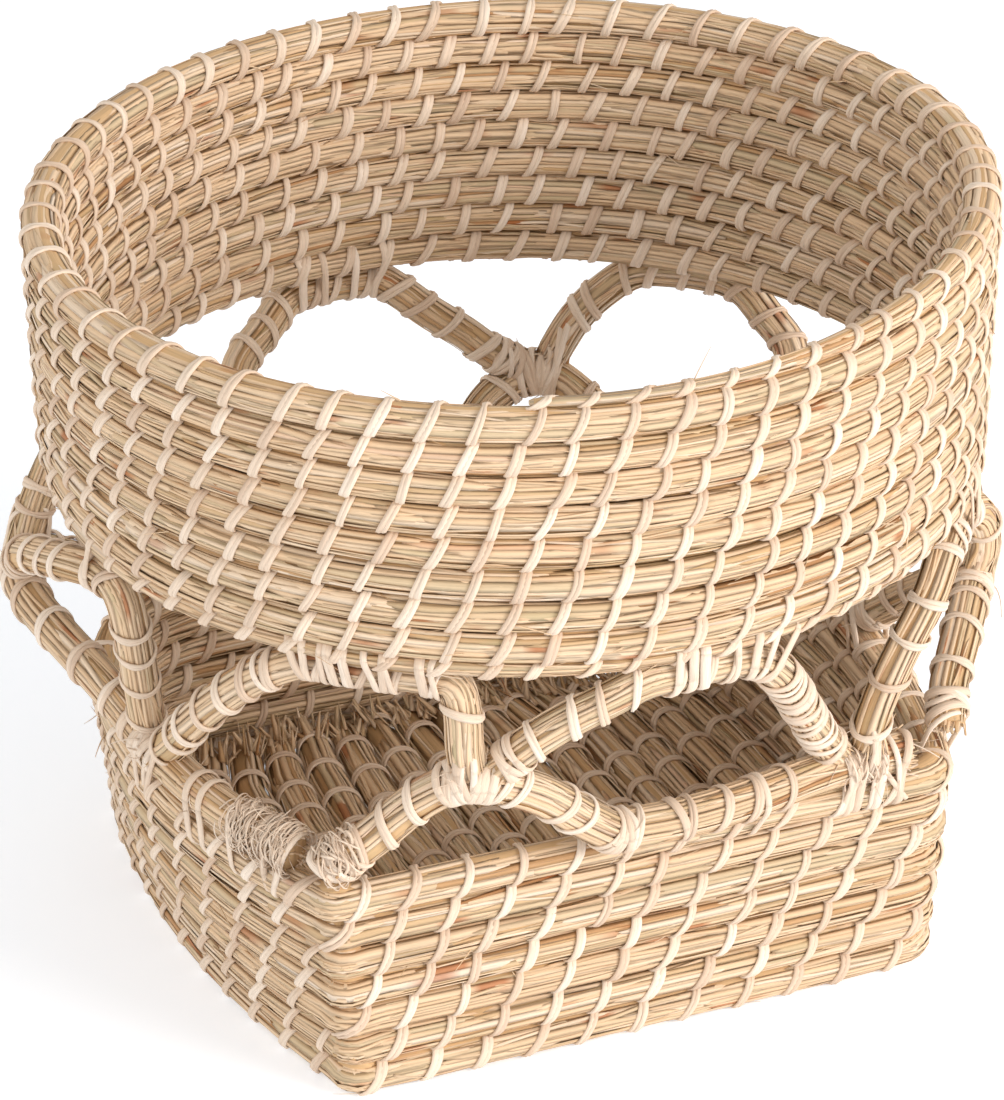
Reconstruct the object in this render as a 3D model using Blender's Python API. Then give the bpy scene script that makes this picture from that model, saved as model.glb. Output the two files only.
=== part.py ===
"""Belly basket of coiled grass rope: a square base, an open ring of rope arches and a round collar.

Run with: blender --background --python part.py, or from the text editor.
Units are metres. +Z is up and the front of the square base faces -Y. The basket is drawn round the
middle of its rim, with angles in degrees, counted anticlockwise from +X as seen from above, and then
moved a little sideways so that the origin lies on the ground under the middle of its box.
"""
import functools
import math

import bmesh
import bpy
import numpy as np
from mathutils import Matrix, Vector
from mathutils.kdtree import KDTree

MM = 0.001

# Rope. One bundle of grass, wider than it is high, and the space that touching meshes keep.
ROPE_WIDTH = 13.4 * MM
LATTICE_ROPE_DIAMETER = 13.2 * MM
COURSE_GAP = 0.6 * MM
SEAT_GAP = 0.3 * MM
WELD_DISTANCE = 0.01 * MM

# Base. Seven courses on a square outline that grows a little towards the top.
BASE_SIDE = 230.0 * MM
BASE_COURSES = 7
BASE_PITCH = 12.0 * MM

# Collar. A round coil whose rim is slightly oval.
COLLAR_BOTTOM_RADIUS = 161.5 * MM
RIM_RADIUS_X = 166.5 * MM
RIM_RADIUS_Y = 157.5 * MM
COLLAR_PITCH = 11.8 * MM
COLLAR_TURNS = 9.5
COLLAR_START_TURN = 0.3
UNDERSIDE_FALL = 6
COLLAR_END_ANGLE = -110.0
RIM_TAIL_TURNS = 0.3
TAIL_SHARE = 0.26

# Openwork between the base and the collar.
OPENWORK_HEIGHT = 87.2 * MM

# Floor of the base: straight bundles that run from the front wall to the back wall.
FLOOR_BUNDLES = 15
FLOOR_STATIONS = 7
FLOOR_SEARCH_POINTS = 401
FLOOR_SEARCH_ACROSS = 9
FLOOR_REACH_SHARE = 0.43

# Lashings: sleeves of wound strip round the joints of the openwork.
LASHING_THICKNESS = 1.5 * MM
KNOT_RADIUS = 14.0 * MM
KNOT_LIFT = 5.0 * MM
KNOT_TURN = 17.0
KNOT_TURN_AXIS = (1, 2, 3)
LANDING_LASHING_LENGTH = 22.0 * MM
CORNER_LASHING_LENGTH = 44.0 * MM

# The base's outline is worked out at this many points a side and a corner.
OUTLINE_SIDE_POINTS = 12
OUTLINE_CORNER_POINTS = 6

# Coils are drawn with this many points a turn, and the openwork's ropes at this spacing.
POINTS_PER_TURN = 24
LATTICE_POINT_SPACING = 13.0 * MM
SLEEVE_POINT_SPACING = 4.5 * MM
WALL_POINT_SPACING = 1.0 * MM
STEPS_PER_ROW = 12
NEIGHBOURS = 40

# Corners of the base outline as shares of BASE_SIDE, anticlockwise from the back right one.
# Each side bows out by its bulge share, and each corner is rounded over its cut share.
LOW_CORNER_SHARES = ((0.483, 0.470), (-0.500, 0.478), (-0.468, -0.531), (0.483, -0.502))
TOP_CORNER_SHARES = ((0.508, 0.487), (-0.511, 0.452), (-0.500, -0.533), (0.502, -0.520))
LOW_BULGE_SHARES = (0.013, 0.069, 0.004, 0.052)
TOP_BULGE_SHARES = (0.013, 0.121, 0.000, 0.070)
CORNER_CUT_SHARES = (0.130, 0.157, 0.048, 0.070)
BASE_CLIMB_HALF_ANGLE = 12.0
CLIMB_SHARES = (1 / 3, 2 / 3)
BASE_TAIL_ANGLE = 20.0
BASE_TAIL_HEAD_START = 0.35
CORNER_REACH_SHARE = 0.85
STATION_MARGIN = 4.0
STATIONS_PER_SIDE = 5

# Openwork ropes. Each row is an angle, the share of the rise from the base's rim to the collar, and
# how far the rope stands out from the straight line between them, as a share of its diameter.
WAVE_SHARES = {
    "front": ((-134, 0.02, 0.0), (-129, 0.16, 0.0), (-123, 0.38, 0.3), (-117, 0.50, 0.6),
              (-109, 0.39, 0.7), (-101, 0.12, 0.8), (-94, -0.05, 0.9), (-84, -0.07, 0.95),
              (-73, -0.03, 0.7), (-60, 0.0, 0.2), (-49.5, 0.0, 0.0)),
    "right": ((-43.5, 0.03, 0.35), (-40, 0.17, 0.45), (-36, 0.31, 0.7), (-31.5, 0.43, 0.9),
              (-27, 0.49, 1.0), (-21, 0.36, 0.8), (-14, 0.12, 0.2), (-8, 0.0, 0.0), (5, 0.0, 0.0),
              (18, 0.0, 0.0), (30, 0.0, 0.0), (39, 0.0, 0.0)),
    "back": ((47, 0.02, 0.0), (52, 0.18, 0.1), (58, 0.38, 0.4), (64, 0.48, 0.7), (71, 0.40, 0.6),
             (79, 0.16, 0.0), (87, 0.0, 0.0), (98, 0.0, 0.0), (110, 0.0, 0.0), (121, 0.0, 0.0),
             (130, 0.0, 0.0)),
    "left": ((136, 0.02, 0.0), (145, 0.22, 0.6), (152, 0.42, 1.4), (159, 0.48, 1.75), (166, 0.45, 1.6),
             (173, 0.38, 1.1), (180, 0.26, 0.55), (186, 0.10, 0.2), (192, 0.0, 0.0), (204, 0.0, 0.0),
             (214, 0.0, 0.0), (221, 0.0, 0.0)),
}
ARCH_SHARES = {
    "front_long": ((-115, 0.50, 0.6), (-110.5, 0.66, 0.4), (-105.5, 0.80, 0.2), (-100, 0.91, 0.0),
                   (-94.5, 1.0, -0.2), (-88, 1.0, -0.35), (-82.5, 1.0, -0.3), (-79, 0.95, -0.15),
                   (-75, 0.80, 0.0), (-69, 0.53, 0.0), (-64, 0.31, 0.0), (-60.5, 0.16, 0.0),
                   (-58, 0.06, 0.0)),
    "right_long": ((-26, 0.52, 1.0), (-18, 0.80, 0.5), (-9, 0.96, 0.0), (-3, 1.0, 0.0), (3, 0.94, 0.0),
                   (8, 0.72, 0.0), (12, 0.42, 0.0), (15, 0.08, 0.0)),
    "back_long": ((65, 0.52, 0.6), (70, 0.60, 0.3), (75, 0.72, 0.3), (79.5, 0.82, 0.3),
                  (83.5, 0.93, 0.3), (86.5, 1.0, 0.3), (90, 1.0, 0.3), (94.5, 1.0, 0.3), (99, 0.98, 0.3),
                  (103.5, 0.88, 0.3), (109.5, 0.76, 0.3), (115.5, 0.52, 0.1), (124, 0.08, 0.0)),
    "left_long": ((160, 0.52, 1.75), (168, 0.76, 1.3), (178, 0.92, 0.6), (186, 0.99, 0.0),
                  (190.5, 0.96, 0.0), (191, 0.80, 0.0), (190, 0.55, 0.0), (188.5, 0.30, 0.0),
                  (187, 0.08, 0.0)),
    "front_corner": ((-55.2, 0.09, 0.1), (-55.2, 0.28, 0.15), (-54.2, 0.48, 0.15), (-52, 0.67, 0.15),
                     (-48.5, 0.83, 0.15), (-44, 0.96, 0.1), (-39, 1.0, 0.0), (-34, 1.0, 0.0),
                     (-30.6, 0.96, 0.35), (-28.6, 0.84, 0.75), (-27.3, 0.68, 1.0), (-27, 0.52, 1.0)),
    "right_corner": ((18, 0.08, 0.0), (21, 0.36, 0.0), (25, 0.62, 0.2), (29, 0.78, 0.6), (33.5, 0.88, 0.7),
                     (37, 0.97, 0.8), (40.5, 1.0, 0.9), (45, 1.0, 0.9), (51.5, 0.99, 0.7),
                     (56, 0.88, 0.6), (59.5, 0.74, 0.6), (63, 0.52, 0.7)),
    "back_corner": ((127, 0.08, 0.0), (131, 0.45, 0.0), (136, 0.75, 0.0), (142, 1.0, 0.0),
                    (148.5, 1.0, 0.05), (153, 0.95, 0.35), (156, 0.82, 0.85), (158, 0.67, 1.35),
                    (159, 0.52, 1.75)),
    "left_corner": ((192, 0.08, 0.0), (196.5, 0.21, 0.0), (202, 0.41, 0.0), (208.5, 0.66, -0.1),
                    (215.5, 0.89, -0.3), (223, 1.02, -0.6), (232, 1.04, -0.7), (238, 1.03, -0.7),
                    (241, 0.98, -0.5), (242, 0.85, -0.1), (242.3, 0.68, 0.35), (243, 0.52, 0.6)),
}
SIDES = ("front", "right", "back", "left")

# Joints: the wave's peak, the feet of two arches and the wave's landing on the rim, each at an angle
# of the side it belongs to. A fourth lies where one wave ends and the next begins.
FOOT_ANGLES = {"front": -55, "right": 16.5, "back": 125.5, "left": 189.5}
PEAK_ANGLES = {"front": -117, "right": -27, "back": 64, "left": 159}
LANDING_ANGLES = {"front": -96, "right": -10, "back": 85, "left": 203}

# Sizes worked out from the ones above.
BASE_ROPE_HEIGHT = BASE_PITCH - COURSE_GAP
COLLAR_ROPE_HEIGHT = COLLAR_PITCH - COURSE_GAP
BASE_HEIGHT = BASE_PITCH * (BASE_COURSES - 1) + BASE_ROPE_HEIGHT
COLLAR_BOTTOM = BASE_HEIGHT + OPENWORK_HEIGHT
LATTICE_RADIUS = LATTICE_ROPE_DIAMETER / 2
RIM_ROPE_Z = BASE_HEIGHT + SEAT_GAP + LATTICE_RADIUS
COLLAR_HEIGHT = COLLAR_PITCH * (COLLAR_TURNS - 1)

GRASS_COLOUR = (0.56, 0.42, 0.24)
STRIP_COLOUR = (0.78, 0.66, 0.50)


def clear_scene():
    for thing in list(bpy.data.objects):
        bpy.data.objects.remove(thing, do_unlink=True)


def make_material(name, colour, roughness):
    material = bpy.data.materials.new(name)
    material.use_nodes = True
    shader = material.node_tree.nodes["Principled BSDF"]
    shader.inputs["Base Color"].default_value = (*colour, 1.0)
    shader.inputs["Roughness"].default_value = roughness
    shader.inputs["Metallic"].default_value = 0.0
    return material


@functools.lru_cache(maxsize=None)
def base_outline(rise):
    """The centre line of a base course as an array of (x, y), at a share of the base's height."""
    low = np.array(LOW_CORNER_SHARES)
    top = np.array(TOP_CORNER_SHARES)
    corners = BASE_SIDE * (low + (top - low) * rise)
    low_bulge = np.array(LOW_BULGE_SHARES)
    bulges = BASE_SIDE * (low_bulge + (np.array(TOP_BULGE_SHARES) - low_bulge) * rise)
    cuts = BASE_SIDE * np.array(CORNER_CUT_SHARES)

    def side_point(index, share):
        start = corners[index]
        along = corners[(index + 1) % 4] - start
        outward = np.array((along[1], -along[0])) / np.linalg.norm(along)
        return start + along * share + outward * bulges[index] * 4 * share * (1 - share)

    points = []
    for index in range(4):
        after = (index + 1) % 4
        length = np.linalg.norm(corners[after] - corners[index])
        next_length = np.linalg.norm(corners[(index + 2) % 4] - corners[after])
        first, last = cuts[index] / length, 1 - cuts[after] / length
        points += [side_point(index, share) for share in np.linspace(first, last, OUTLINE_SIDE_POINTS)]
        leave = side_point(index, last)
        arrive = side_point(after, cuts[after] / next_length)
        for share in np.linspace(0, 1, OUTLINE_CORNER_POINTS + 2)[1:-1]:
            back = 1 - share
            points.append(back ** 2 * leave + 2 * share * back * corners[after] + share ** 2 * arrive)
    return np.array(points)


def base_radius(angle, rise):
    """Distance from the axis to the centre line of a base course, in the direction of an angle."""
    outline = base_outline(rise)
    angles = np.degrees(np.arctan2(outline[:, 1], outline[:, 0])) % 360
    order = np.argsort(angles)
    return float(np.interp(angle % 360, angles[order], np.hypot(*outline.T)[order], period=360))


def collar_radius(angle, rise):
    """Distance from the axis to the collar's centre line, at a share of the collar's height."""
    radius_x = COLLAR_BOTTOM_RADIUS + (RIM_RADIUS_X - COLLAR_BOTTOM_RADIUS) * rise
    radius_y = COLLAR_BOTTOM_RADIUS + (RIM_RADIUS_Y - COLLAR_BOTTOM_RADIUS) * rise
    turn = math.radians(angle)
    return 1 / math.hypot(math.cos(turn) / radius_x, math.sin(turn) / radius_y)


def polar(angle, radius, height):
    turn = math.radians(angle)
    return Vector((radius * math.cos(turn), radius * math.sin(turn), height))


def smooth_step(share):
    share = min(max(share, 0.0), 1.0)
    return share * share * (3 - 2 * share)


def collar_zero_angle():
    """Where the collar's turn count is zero. Its rope climbs clockwise, as seen from above."""
    return COLLAR_END_ANGLE + 360 * COLLAR_TURNS


def collar_turn_at(angle):
    """The collar's turn count where its first turn passes an angle, between 0 and 1."""
    return ((collar_zero_angle() - angle) % 360) / 360


def collar_underside(angle):
    """Height of the collar's lower edge: level, but for the stretch before the rope's thin start."""
    turn = collar_turn_at(angle)
    return COLLAR_BOTTOM + COLLAR_PITCH * max(0, min(turn, (COLLAR_START_TURN - turn) * UNDERSIDE_FALL))


def collar_path():
    """Points and size shares of the collar's one rope, which grows from a thin tail and ends in one."""
    points, shares = [], []
    steps = round((COLLAR_TURNS - COLLAR_START_TURN) * POINTS_PER_TURN)
    for step in range(steps + 1):
        turn = COLLAR_START_TURN + (COLLAR_TURNS - COLLAR_START_TURN) * step / steps
        if turn < 1:
            share = (COLLAR_PITCH * turn - COURSE_GAP) / COLLAR_ROPE_HEIGHT
            underside = COLLAR_BOTTOM
        else:
            tail = (COLLAR_TURNS - turn) / RIM_TAIL_TURNS
            share = TAIL_SHARE + (1 - TAIL_SHARE) * smooth_step(tail)
            underside = COLLAR_BOTTOM + COLLAR_PITCH * (turn - 1)
        height = underside + share * COLLAR_ROPE_HEIGHT / 2
        angle = collar_zero_angle() - 360 * turn
        rise = (height - COLLAR_BOTTOM) / COLLAR_HEIGHT
        points.append(polar(angle, collar_radius(angle, rise), height))
        shares.append(share)
    return points, shares


def base_corner_angles():
    corners = np.array(LOW_CORNER_SHARES)
    return [math.degrees(math.atan2(y, x)) % 360 for x, y in corners]


def course_angles():
    """The angles of one base course, from one side of the back right corner round to the other."""
    corners = base_corner_angles()
    angles = []
    for index, corner in enumerate(corners):
        reach = math.degrees(CORNER_CUT_SHARES[index] * CORNER_REACH_SHARE)
        after = corners[(index + 1) % 4] + (360 if index == 3 else 0)
        reach_after = math.degrees(CORNER_CUT_SHARES[(index + 1) % 4] * CORNER_REACH_SHARE)
        angles += list(np.linspace(corner + reach, after - reach_after, STATIONS_PER_SIDE))
        if index < 3:
            angles.append(after)
    return angles


def level_angles():
    """The angles of a base course where it lies level, and those where it climbs to the next."""
    corner = base_corner_angles()[0]
    start, end = corner + BASE_CLIMB_HALF_ANGLE, corner + 360 - BASE_CLIMB_HALF_ANGLE
    inner = [a for a in course_angles() if start + STATION_MARGIN < a < end - STATION_MARGIN]
    climb = [end + 2 * BASE_CLIMB_HALF_ANGLE * part for part in CLIMB_SHARES]
    return [start] + inner + [end], climb


def base_path():
    """Points and size shares of the base's one rope: level courses that climb at the back right corner."""
    level, climb_angles = level_angles()
    start, end = level[0], level[-1]
    points, shares = [], []
    for course in range(BASE_COURSES):
        stations = [(angle, 0.0) for angle in level]
        if course < BASE_COURSES - 1:
            stations += [(angle, smooth_step(part)) for angle, part in zip(climb_angles, CLIMB_SHARES)]
        for angle, climb in stations:
            along = 360
            if course == 0:
                along = angle - start
            elif course == BASE_COURSES - 1:
                along = end - angle
            growth = smooth_step(along / BASE_TAIL_ANGLE + BASE_TAIL_HEAD_START)
            share = TAIL_SHARE + (1 - TAIL_SHARE) * growth
            height = BASE_PITCH * (course + climb) + share * BASE_ROPE_HEIGHT / 2
            rise = (height - BASE_ROPE_HEIGHT / 2) / (BASE_HEIGHT - BASE_ROPE_HEIGHT)
            points.append(polar(angle, base_radius(angle, rise), height))
            shares.append(share)
    return points, shares


def oval_profile(name, width, height):
    """A six-sided rope section with flat top and underside, kept as a hidden guide."""
    curve = bpy.data.curves.new(name, "CURVE")
    curve.dimensions = "2D"
    spline = curve.splines.new("POLY")
    spline.points.add(5)
    for point, degrees in zip(spline.points, range(0, 360, 60)):
        turn = math.radians(degrees)
        across = width / 2 * math.cos(turn)
        point.co = (across, height / 2 * math.sin(turn) / math.sin(math.radians(60)), 0, 1)
    spline.use_cyclic_u = True
    guide = bpy.data.objects.new(name, curve)
    guide.hide_render = True
    guide.display_type = "WIRE"
    bpy.context.scene.collection.objects.link(guide)
    return guide


def rope_curve(name, points, shares=None, profile=None, radius=0.0):
    """A rope as a curve object with filled caps."""
    curve = bpy.data.curves.new(name, "CURVE")
    curve.dimensions = "3D"
    curve.twist_mode = "Z_UP" if profile else "MINIMUM"
    curve.use_fill_caps = True
    curve.resolution_u = 1
    curve.render_resolution_u = 0
    if profile:
        curve.bevel_mode = "OBJECT"
        curve.bevel_object = profile
    else:
        curve.bevel_depth = radius
        curve.bevel_resolution = 1
    spline = curve.splines.new("POLY")
    spline.points.add(len(points) - 1)
    for index, place in enumerate(points):
        spline.points[index].co = (*place, 1)
        spline.points[index].radius = shares[index] if shares else 1.0
    rope = bpy.data.objects.new(name, curve)
    bpy.context.scene.collection.objects.link(rope)
    return rope


def evaluated_mesh(thing, name):
    bpy.context.view_layer.update()
    graph = bpy.context.evaluated_depsgraph_get()
    mesh = bpy.data.meshes.new_from_object(thing.evaluated_get(graph))
    mesh.name = name
    return mesh


def point_outward(mesh):
    """Weld the caps to the tube and turn every face outward."""
    work = bmesh.new()
    work.from_mesh(mesh)
    bmesh.ops.remove_doubles(work, verts=work.verts, dist=WELD_DISTANCE)
    bmesh.ops.recalc_face_normals(work, faces=work.faces)
    if work.calc_volume(signed=True) < 0:
        bmesh.ops.reverse_faces(work, faces=work.faces)
    work.to_mesh(mesh)
    work.free()


def rope_mesh(name, points, material, **options):
    """A rope as a closed mesh object."""
    curve = rope_curve(name + "_line", points, **options)
    mesh = evaluated_mesh(curve, name)
    bpy.data.objects.remove(curve, do_unlink=True)
    point_outward(mesh)
    rope = bpy.data.objects.new(name, mesh)
    bpy.context.scene.collection.objects.link(rope)
    if material:
        mesh.materials.clear()
        mesh.materials.append(material)
    return rope


def smooth_rows(rows):
    """A smooth curve through rows of numbers, read at several places between each two."""
    rows = [np.array(row, dtype=float) for row in rows]
    ends = [rows[0] * 2 - rows[1]] + rows + [rows[-1] * 2 - rows[-2]]
    dense = []
    for a, b, c, d in zip(ends, ends[1:], ends[2:], ends[3:]):
        for s in np.linspace(0, 1, STEPS_PER_ROW + 1)[:-1]:
            dense.append(0.5 * (2 * b + (c - a) * s + (2 * a - 5 * b + 4 * c - d) * s ** 2
                                + (3 * b - a - 3 * c + d) * s ** 3))
    return dense + [rows[-1]]


def evenly(points, spacing):
    """Points along a line of straight stretches, read at an even spacing."""
    lengths = np.cumsum([0.0] + [(q - p).length for p, q in zip(points, points[1:])])
    wanted = np.linspace(0, lengths[-1], max(4, round(lengths[-1] / spacing)) + 1)
    columns = [np.interp(wanted, lengths, [p[axis] for p in points]) for axis in range(3)]
    return [Vector(p) for p in zip(*columns)]


def openwork_point(angle, rise, bulge):
    """A place in the openwork: between the base's rim and the underside of the collar."""
    top_height = collar_underside(angle) - SEAT_GAP - LATTICE_RADIUS
    low = polar(angle, base_radius(angle, 1.0), RIM_ROPE_Z)
    high = polar(angle, collar_radius(angle, 0.0), top_height)
    outward = polar(angle, 1.0, 0.0)
    return low.lerp(high, rise) + outward * bulge * LATTICE_ROPE_DIAMETER


def openwork_path(rows):
    places = []
    for angle, rise, bulge in smooth_rows(rows):
        places.append(openwork_point(angle, min(max(rise, 0), 1), bulge))
    return evenly(places, LATTICE_POINT_SPACING)


def cutter(name, points, radius):
    """A hidden tube that trims other pieces with room to spare round a rope."""
    tube = rope_mesh(name, points, None, radius=radius)
    tube.hide_render = True
    tube.display_type = "WIRE"
    return tube


def cut_away(piece, others):
    """Run exact booleans on a piece one after another, and keep its largest body after each."""
    for other in others:
        modifier = piece.modifiers.new("cut", "BOOLEAN")
        modifier.operation = "DIFFERENCE"
        modifier.solver = "EXACT"
        modifier.object = other
        mesh = evaluated_mesh(piece, piece.name)
        piece.modifiers.clear()
        old = piece.data
        piece.data = mesh
        bpy.data.meshes.remove(old)
        keep_largest_body(mesh)


def keep_largest_body(mesh):
    """Weld what a cut leaves within a hair of itself, split its faces and drop loose slivers."""
    work = bmesh.new()
    work.from_mesh(mesh)
    bmesh.ops.remove_doubles(work, verts=work.verts, dist=WELD_DISTANCE)
    bmesh.ops.dissolve_degenerate(work, edges=work.edges, dist=WELD_DISTANCE)
    bmesh.ops.triangulate(work, faces=work.faces)
    seen, bodies = set(), []
    for start in work.verts:
        if start in seen:
            continue
        body, front = {start}, [start]
        while front:
            vert = front.pop()
            for edge in vert.link_edges:
                other = edge.other_vert(vert)
                if other not in body:
                    body.add(other)
                    front.append(other)
        seen |= body
        bodies.append(body)
    bodies.sort(key=len)
    loose = [vert for body in bodies[:-1] for vert in body]
    bmesh.ops.delete(work, geom=loose, context="VERTS")
    work.to_mesh(mesh)
    work.free()


def least_gap(mesh, sides, turn_stations):
    """The least distance between points of a coil that lie about a turn apart along it."""
    tree = KDTree(len(mesh.vertices))
    for vert in mesh.vertices:
        tree.insert(vert.co, vert.index)
    tree.balance()
    least = math.inf
    for vert in mesh.vertices:
        for _, index, distance in tree.find_n(vert.co, NEIGHBOURS):
            if abs(index - vert.index) > sides * turn_stations / 2:
                least = min(least, distance)
                break
    return least


def build_coils(grass):
    """The two coils, each one unbroken rope."""
    base_profile = oval_profile("base_rope_section", ROPE_WIDTH, BASE_ROPE_HEIGHT)
    collar_profile = oval_profile("collar_rope_section", ROPE_WIDTH, COLLAR_ROPE_HEIGHT)
    coils = (("base_coil", base_path(), base_profile), ("collar_coil", collar_path(), collar_profile))
    for name, (points, shares), profile in coils:
        coil = rope_mesh(name, points, grass, shares=shares, profile=profile)
        gap = least_gap(coil.data, 6, POINTS_PER_TURN)
        print(name, "least gap to itself", round(gap / MM, 2), "mm")


def lowest_course():
    """The centre line of the lowest course as its rope runs, as close points (x, y)."""
    level, climb_angles = level_angles()
    angles = level + climb_angles + [level[0] + 360]
    line = evenly([polar(angle, base_radius(angle, 0.0), 0) for angle in angles], WALL_POINT_SPACING)
    return np.array([tuple(point.xy) for point in line])


def floor_edge(outline, stations, towards, keep_off):
    """Where the floor ends at the left (-1) or right (+1) wall, at each distance from front to back."""
    reach = stations[-1] + 2 * WALL_POINT_SPACING
    side = outline[(outline[:, 0] * towards > 0) & (np.abs(outline[:, 1]) <= reach)]
    wall = np.interp(stations, side[::towards, 1], side[::towards, 0])
    return wall - towards * keep_off * np.hypot(1, np.gradient(wall, stations))


def build_floor(grass):
    """Straight bundles side by side, which spread where the side walls bow out."""
    outline = lowest_course()
    keep_off = ROPE_WIDTH / 2 + SEAT_GAP
    reach = FLOOR_REACH_SHARE * BASE_SIDE
    stations = np.linspace(-reach, reach, FLOOR_STATIONS)
    left = floor_edge(outline, stations, -1, keep_off)
    right = floor_edge(outline, stations, 1, keep_off)
    spacings = (right - left) / FLOOR_BUNDLES
    middles = [left + spacings * (index + 0.5) for index in range(FLOOR_BUNDLES)]
    widths = [spacings / np.hypot(1, np.gradient(middle, stations)) for middle in middles]
    narrow = np.min(widths)
    profile = oval_profile("floor_bundle_section", narrow - SEAT_GAP, BASE_ROPE_HEIGHT)
    places = np.linspace(-0.5, 0.5, FLOOR_SEARCH_POINTS) * BASE_SIDE
    for index, (middle, width) in enumerate(zip(middles, widths)):
        inside = []
        for y in places:
            half = np.interp(y, stations, width) / 2
            across = np.interp(y, stations, middle) + np.linspace(-half, half, FLOOR_SEARCH_ACROSS)
            lean = np.interp(y, stations, np.gradient(middle, stations))
            tilted = y - lean * np.linspace(-half, half, FLOOR_SEARCH_ACROSS)
            clear = np.hypot(outline[:, 0] - across[:, None], outline[:, 1] - tilted[:, None])
            if np.min(clear) >= keep_off:
                inside.append(y)
        line = [min(inside)] + [y for y in stations if min(inside) < y < max(inside)] + [max(inside)]
        shares = [float(np.interp(y, stations, width) / narrow) for y in line]
        points = []
        for y, share in zip(line, shares):
            points.append(Vector((np.interp(y, stations, middle), y, share * BASE_ROPE_HEIGHT / 2)))
        rope_mesh("floor_bundle_%02d" % (index + 1), points, grass, shares=shares, profile=profile)


def nearest_stretch(path, centre, length):
    """The part of a path that lies within half a length of a centre."""
    near = [p for p in evenly(path, SLEEVE_POINT_SPACING / 4) if (p - centre).length <= length / 2]
    return evenly(near, SLEEVE_POINT_SPACING)


def build_openwork(grass):
    """Waves that rise from the rim, then arches that stand on them and meet the collar."""
    waves = {side: openwork_path(WAVE_SHARES[side]) for side in SIDES}
    arches = {name: openwork_path(rows) for name, rows in ARCH_SHARES.items()}
    room = LATTICE_RADIUS + SEAT_GAP
    wave_cutters = {side: cutter("wave_room_" + side, path, room) for side, path in waves.items()}
    arch_cutters = {side: cutter("arch_room_" + side, arches[side + "_long"], room) for side in SIDES}
    for side, path in waves.items():
        rope_mesh("wave_rope_" + side, path, grass, radius=LATTICE_RADIUS)
    for index, side in enumerate(SIDES):
        after = SIDES[(index + 1) % 4]
        long_path = arches[side + "_long"]
        long_arch = rope_mesh("arch_rope_%s_long" % side, long_path, grass, radius=LATTICE_RADIUS)
        cut_away(long_arch, [wave_cutters[side]])
        corner_path = arches[side + "_corner"]
        corner_arch = rope_mesh("arch_rope_%s_corner" % side, corner_path, grass, radius=LATTICE_RADIUS)
        others = (wave_cutters[side], wave_cutters[after], arch_cutters[side], arch_cutters[after])
        cut_away(corner_arch, others)
    return waves, arches


def rim_room():
    """A hidden ring that keeps the lashings off the base's top course."""
    height = BASE_HEIGHT - BASE_ROPE_HEIGHT / 2
    level, climb_angles = level_angles()
    angles = level + climb_angles + [angle + 360 for angle in level[:2]]
    points = [polar(angle, base_radius(angle, 1.0), height) for angle in angles]
    room_width = ROPE_WIDTH + 2 * SEAT_GAP
    section = oval_profile("rim_room_section", room_width, BASE_ROPE_HEIGHT + 2 * SEAT_GAP)
    ring = rope_mesh("rim_room", points, None, profile=section)
    ring.hide_render = True
    ring.display_type = "WIRE"
    return ring


def trim(lashing, ropes, rim):
    """Cut room for ropes and for the base's rim out of a lashing."""
    for path in ropes:
        room = cutter("lashing_room", path, LATTICE_RADIUS + SEAT_GAP)
        cut_away(lashing, [room])
        bpy.data.objects.remove(room, do_unlink=True)
    cut_away(lashing, [rim])


def place_on(path, angle):
    """The point of a path that lies nearest to an angle."""
    direction = polar(angle, 1.0, 0.0)
    return min(path, key=lambda p: (p.xy.normalized() - direction.xy).length)


def make_ball(name, centre, radius):
    work = bmesh.new()
    bmesh.ops.create_icosphere(work, subdivisions=2, radius=radius)
    turn = Matrix.Rotation(math.radians(KNOT_TURN), 3, KNOT_TURN_AXIS)
    bmesh.ops.rotate(work, verts=work.verts, matrix=turn)
    bmesh.ops.translate(work, verts=work.verts, vec=centre)
    mesh = bpy.data.meshes.new(name)
    work.to_mesh(mesh)
    work.free()
    ball = bpy.data.objects.new(name, mesh)
    bpy.context.scene.collection.objects.link(ball)
    return ball


def build_knot(name, strip, centre, ropes, rim):
    """A lump of wound strip round a joint, trimmed where the ropes pass through it."""
    knot = make_ball(name, centre, KNOT_RADIUS)
    knot.data.materials.append(strip)
    trim(knot, ropes, rim)


def build_sleeve(name, strip, stretch, ropes, rim, knot_centres):
    """A sleeve of wound strip along a rope that lies on the rim, which stops short of the knots."""
    sleeve = rope_mesh(name, stretch, strip, radius=LATTICE_RADIUS + LASHING_THICKNESS)
    trim(sleeve, ropes, rim)
    for centre in knot_centres:
        room = make_ball("knot_room", centre, KNOT_RADIUS + 2 * SEAT_GAP)
        cut_away(sleeve, [room])
        bpy.data.objects.remove(room, do_unlink=True)


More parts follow.
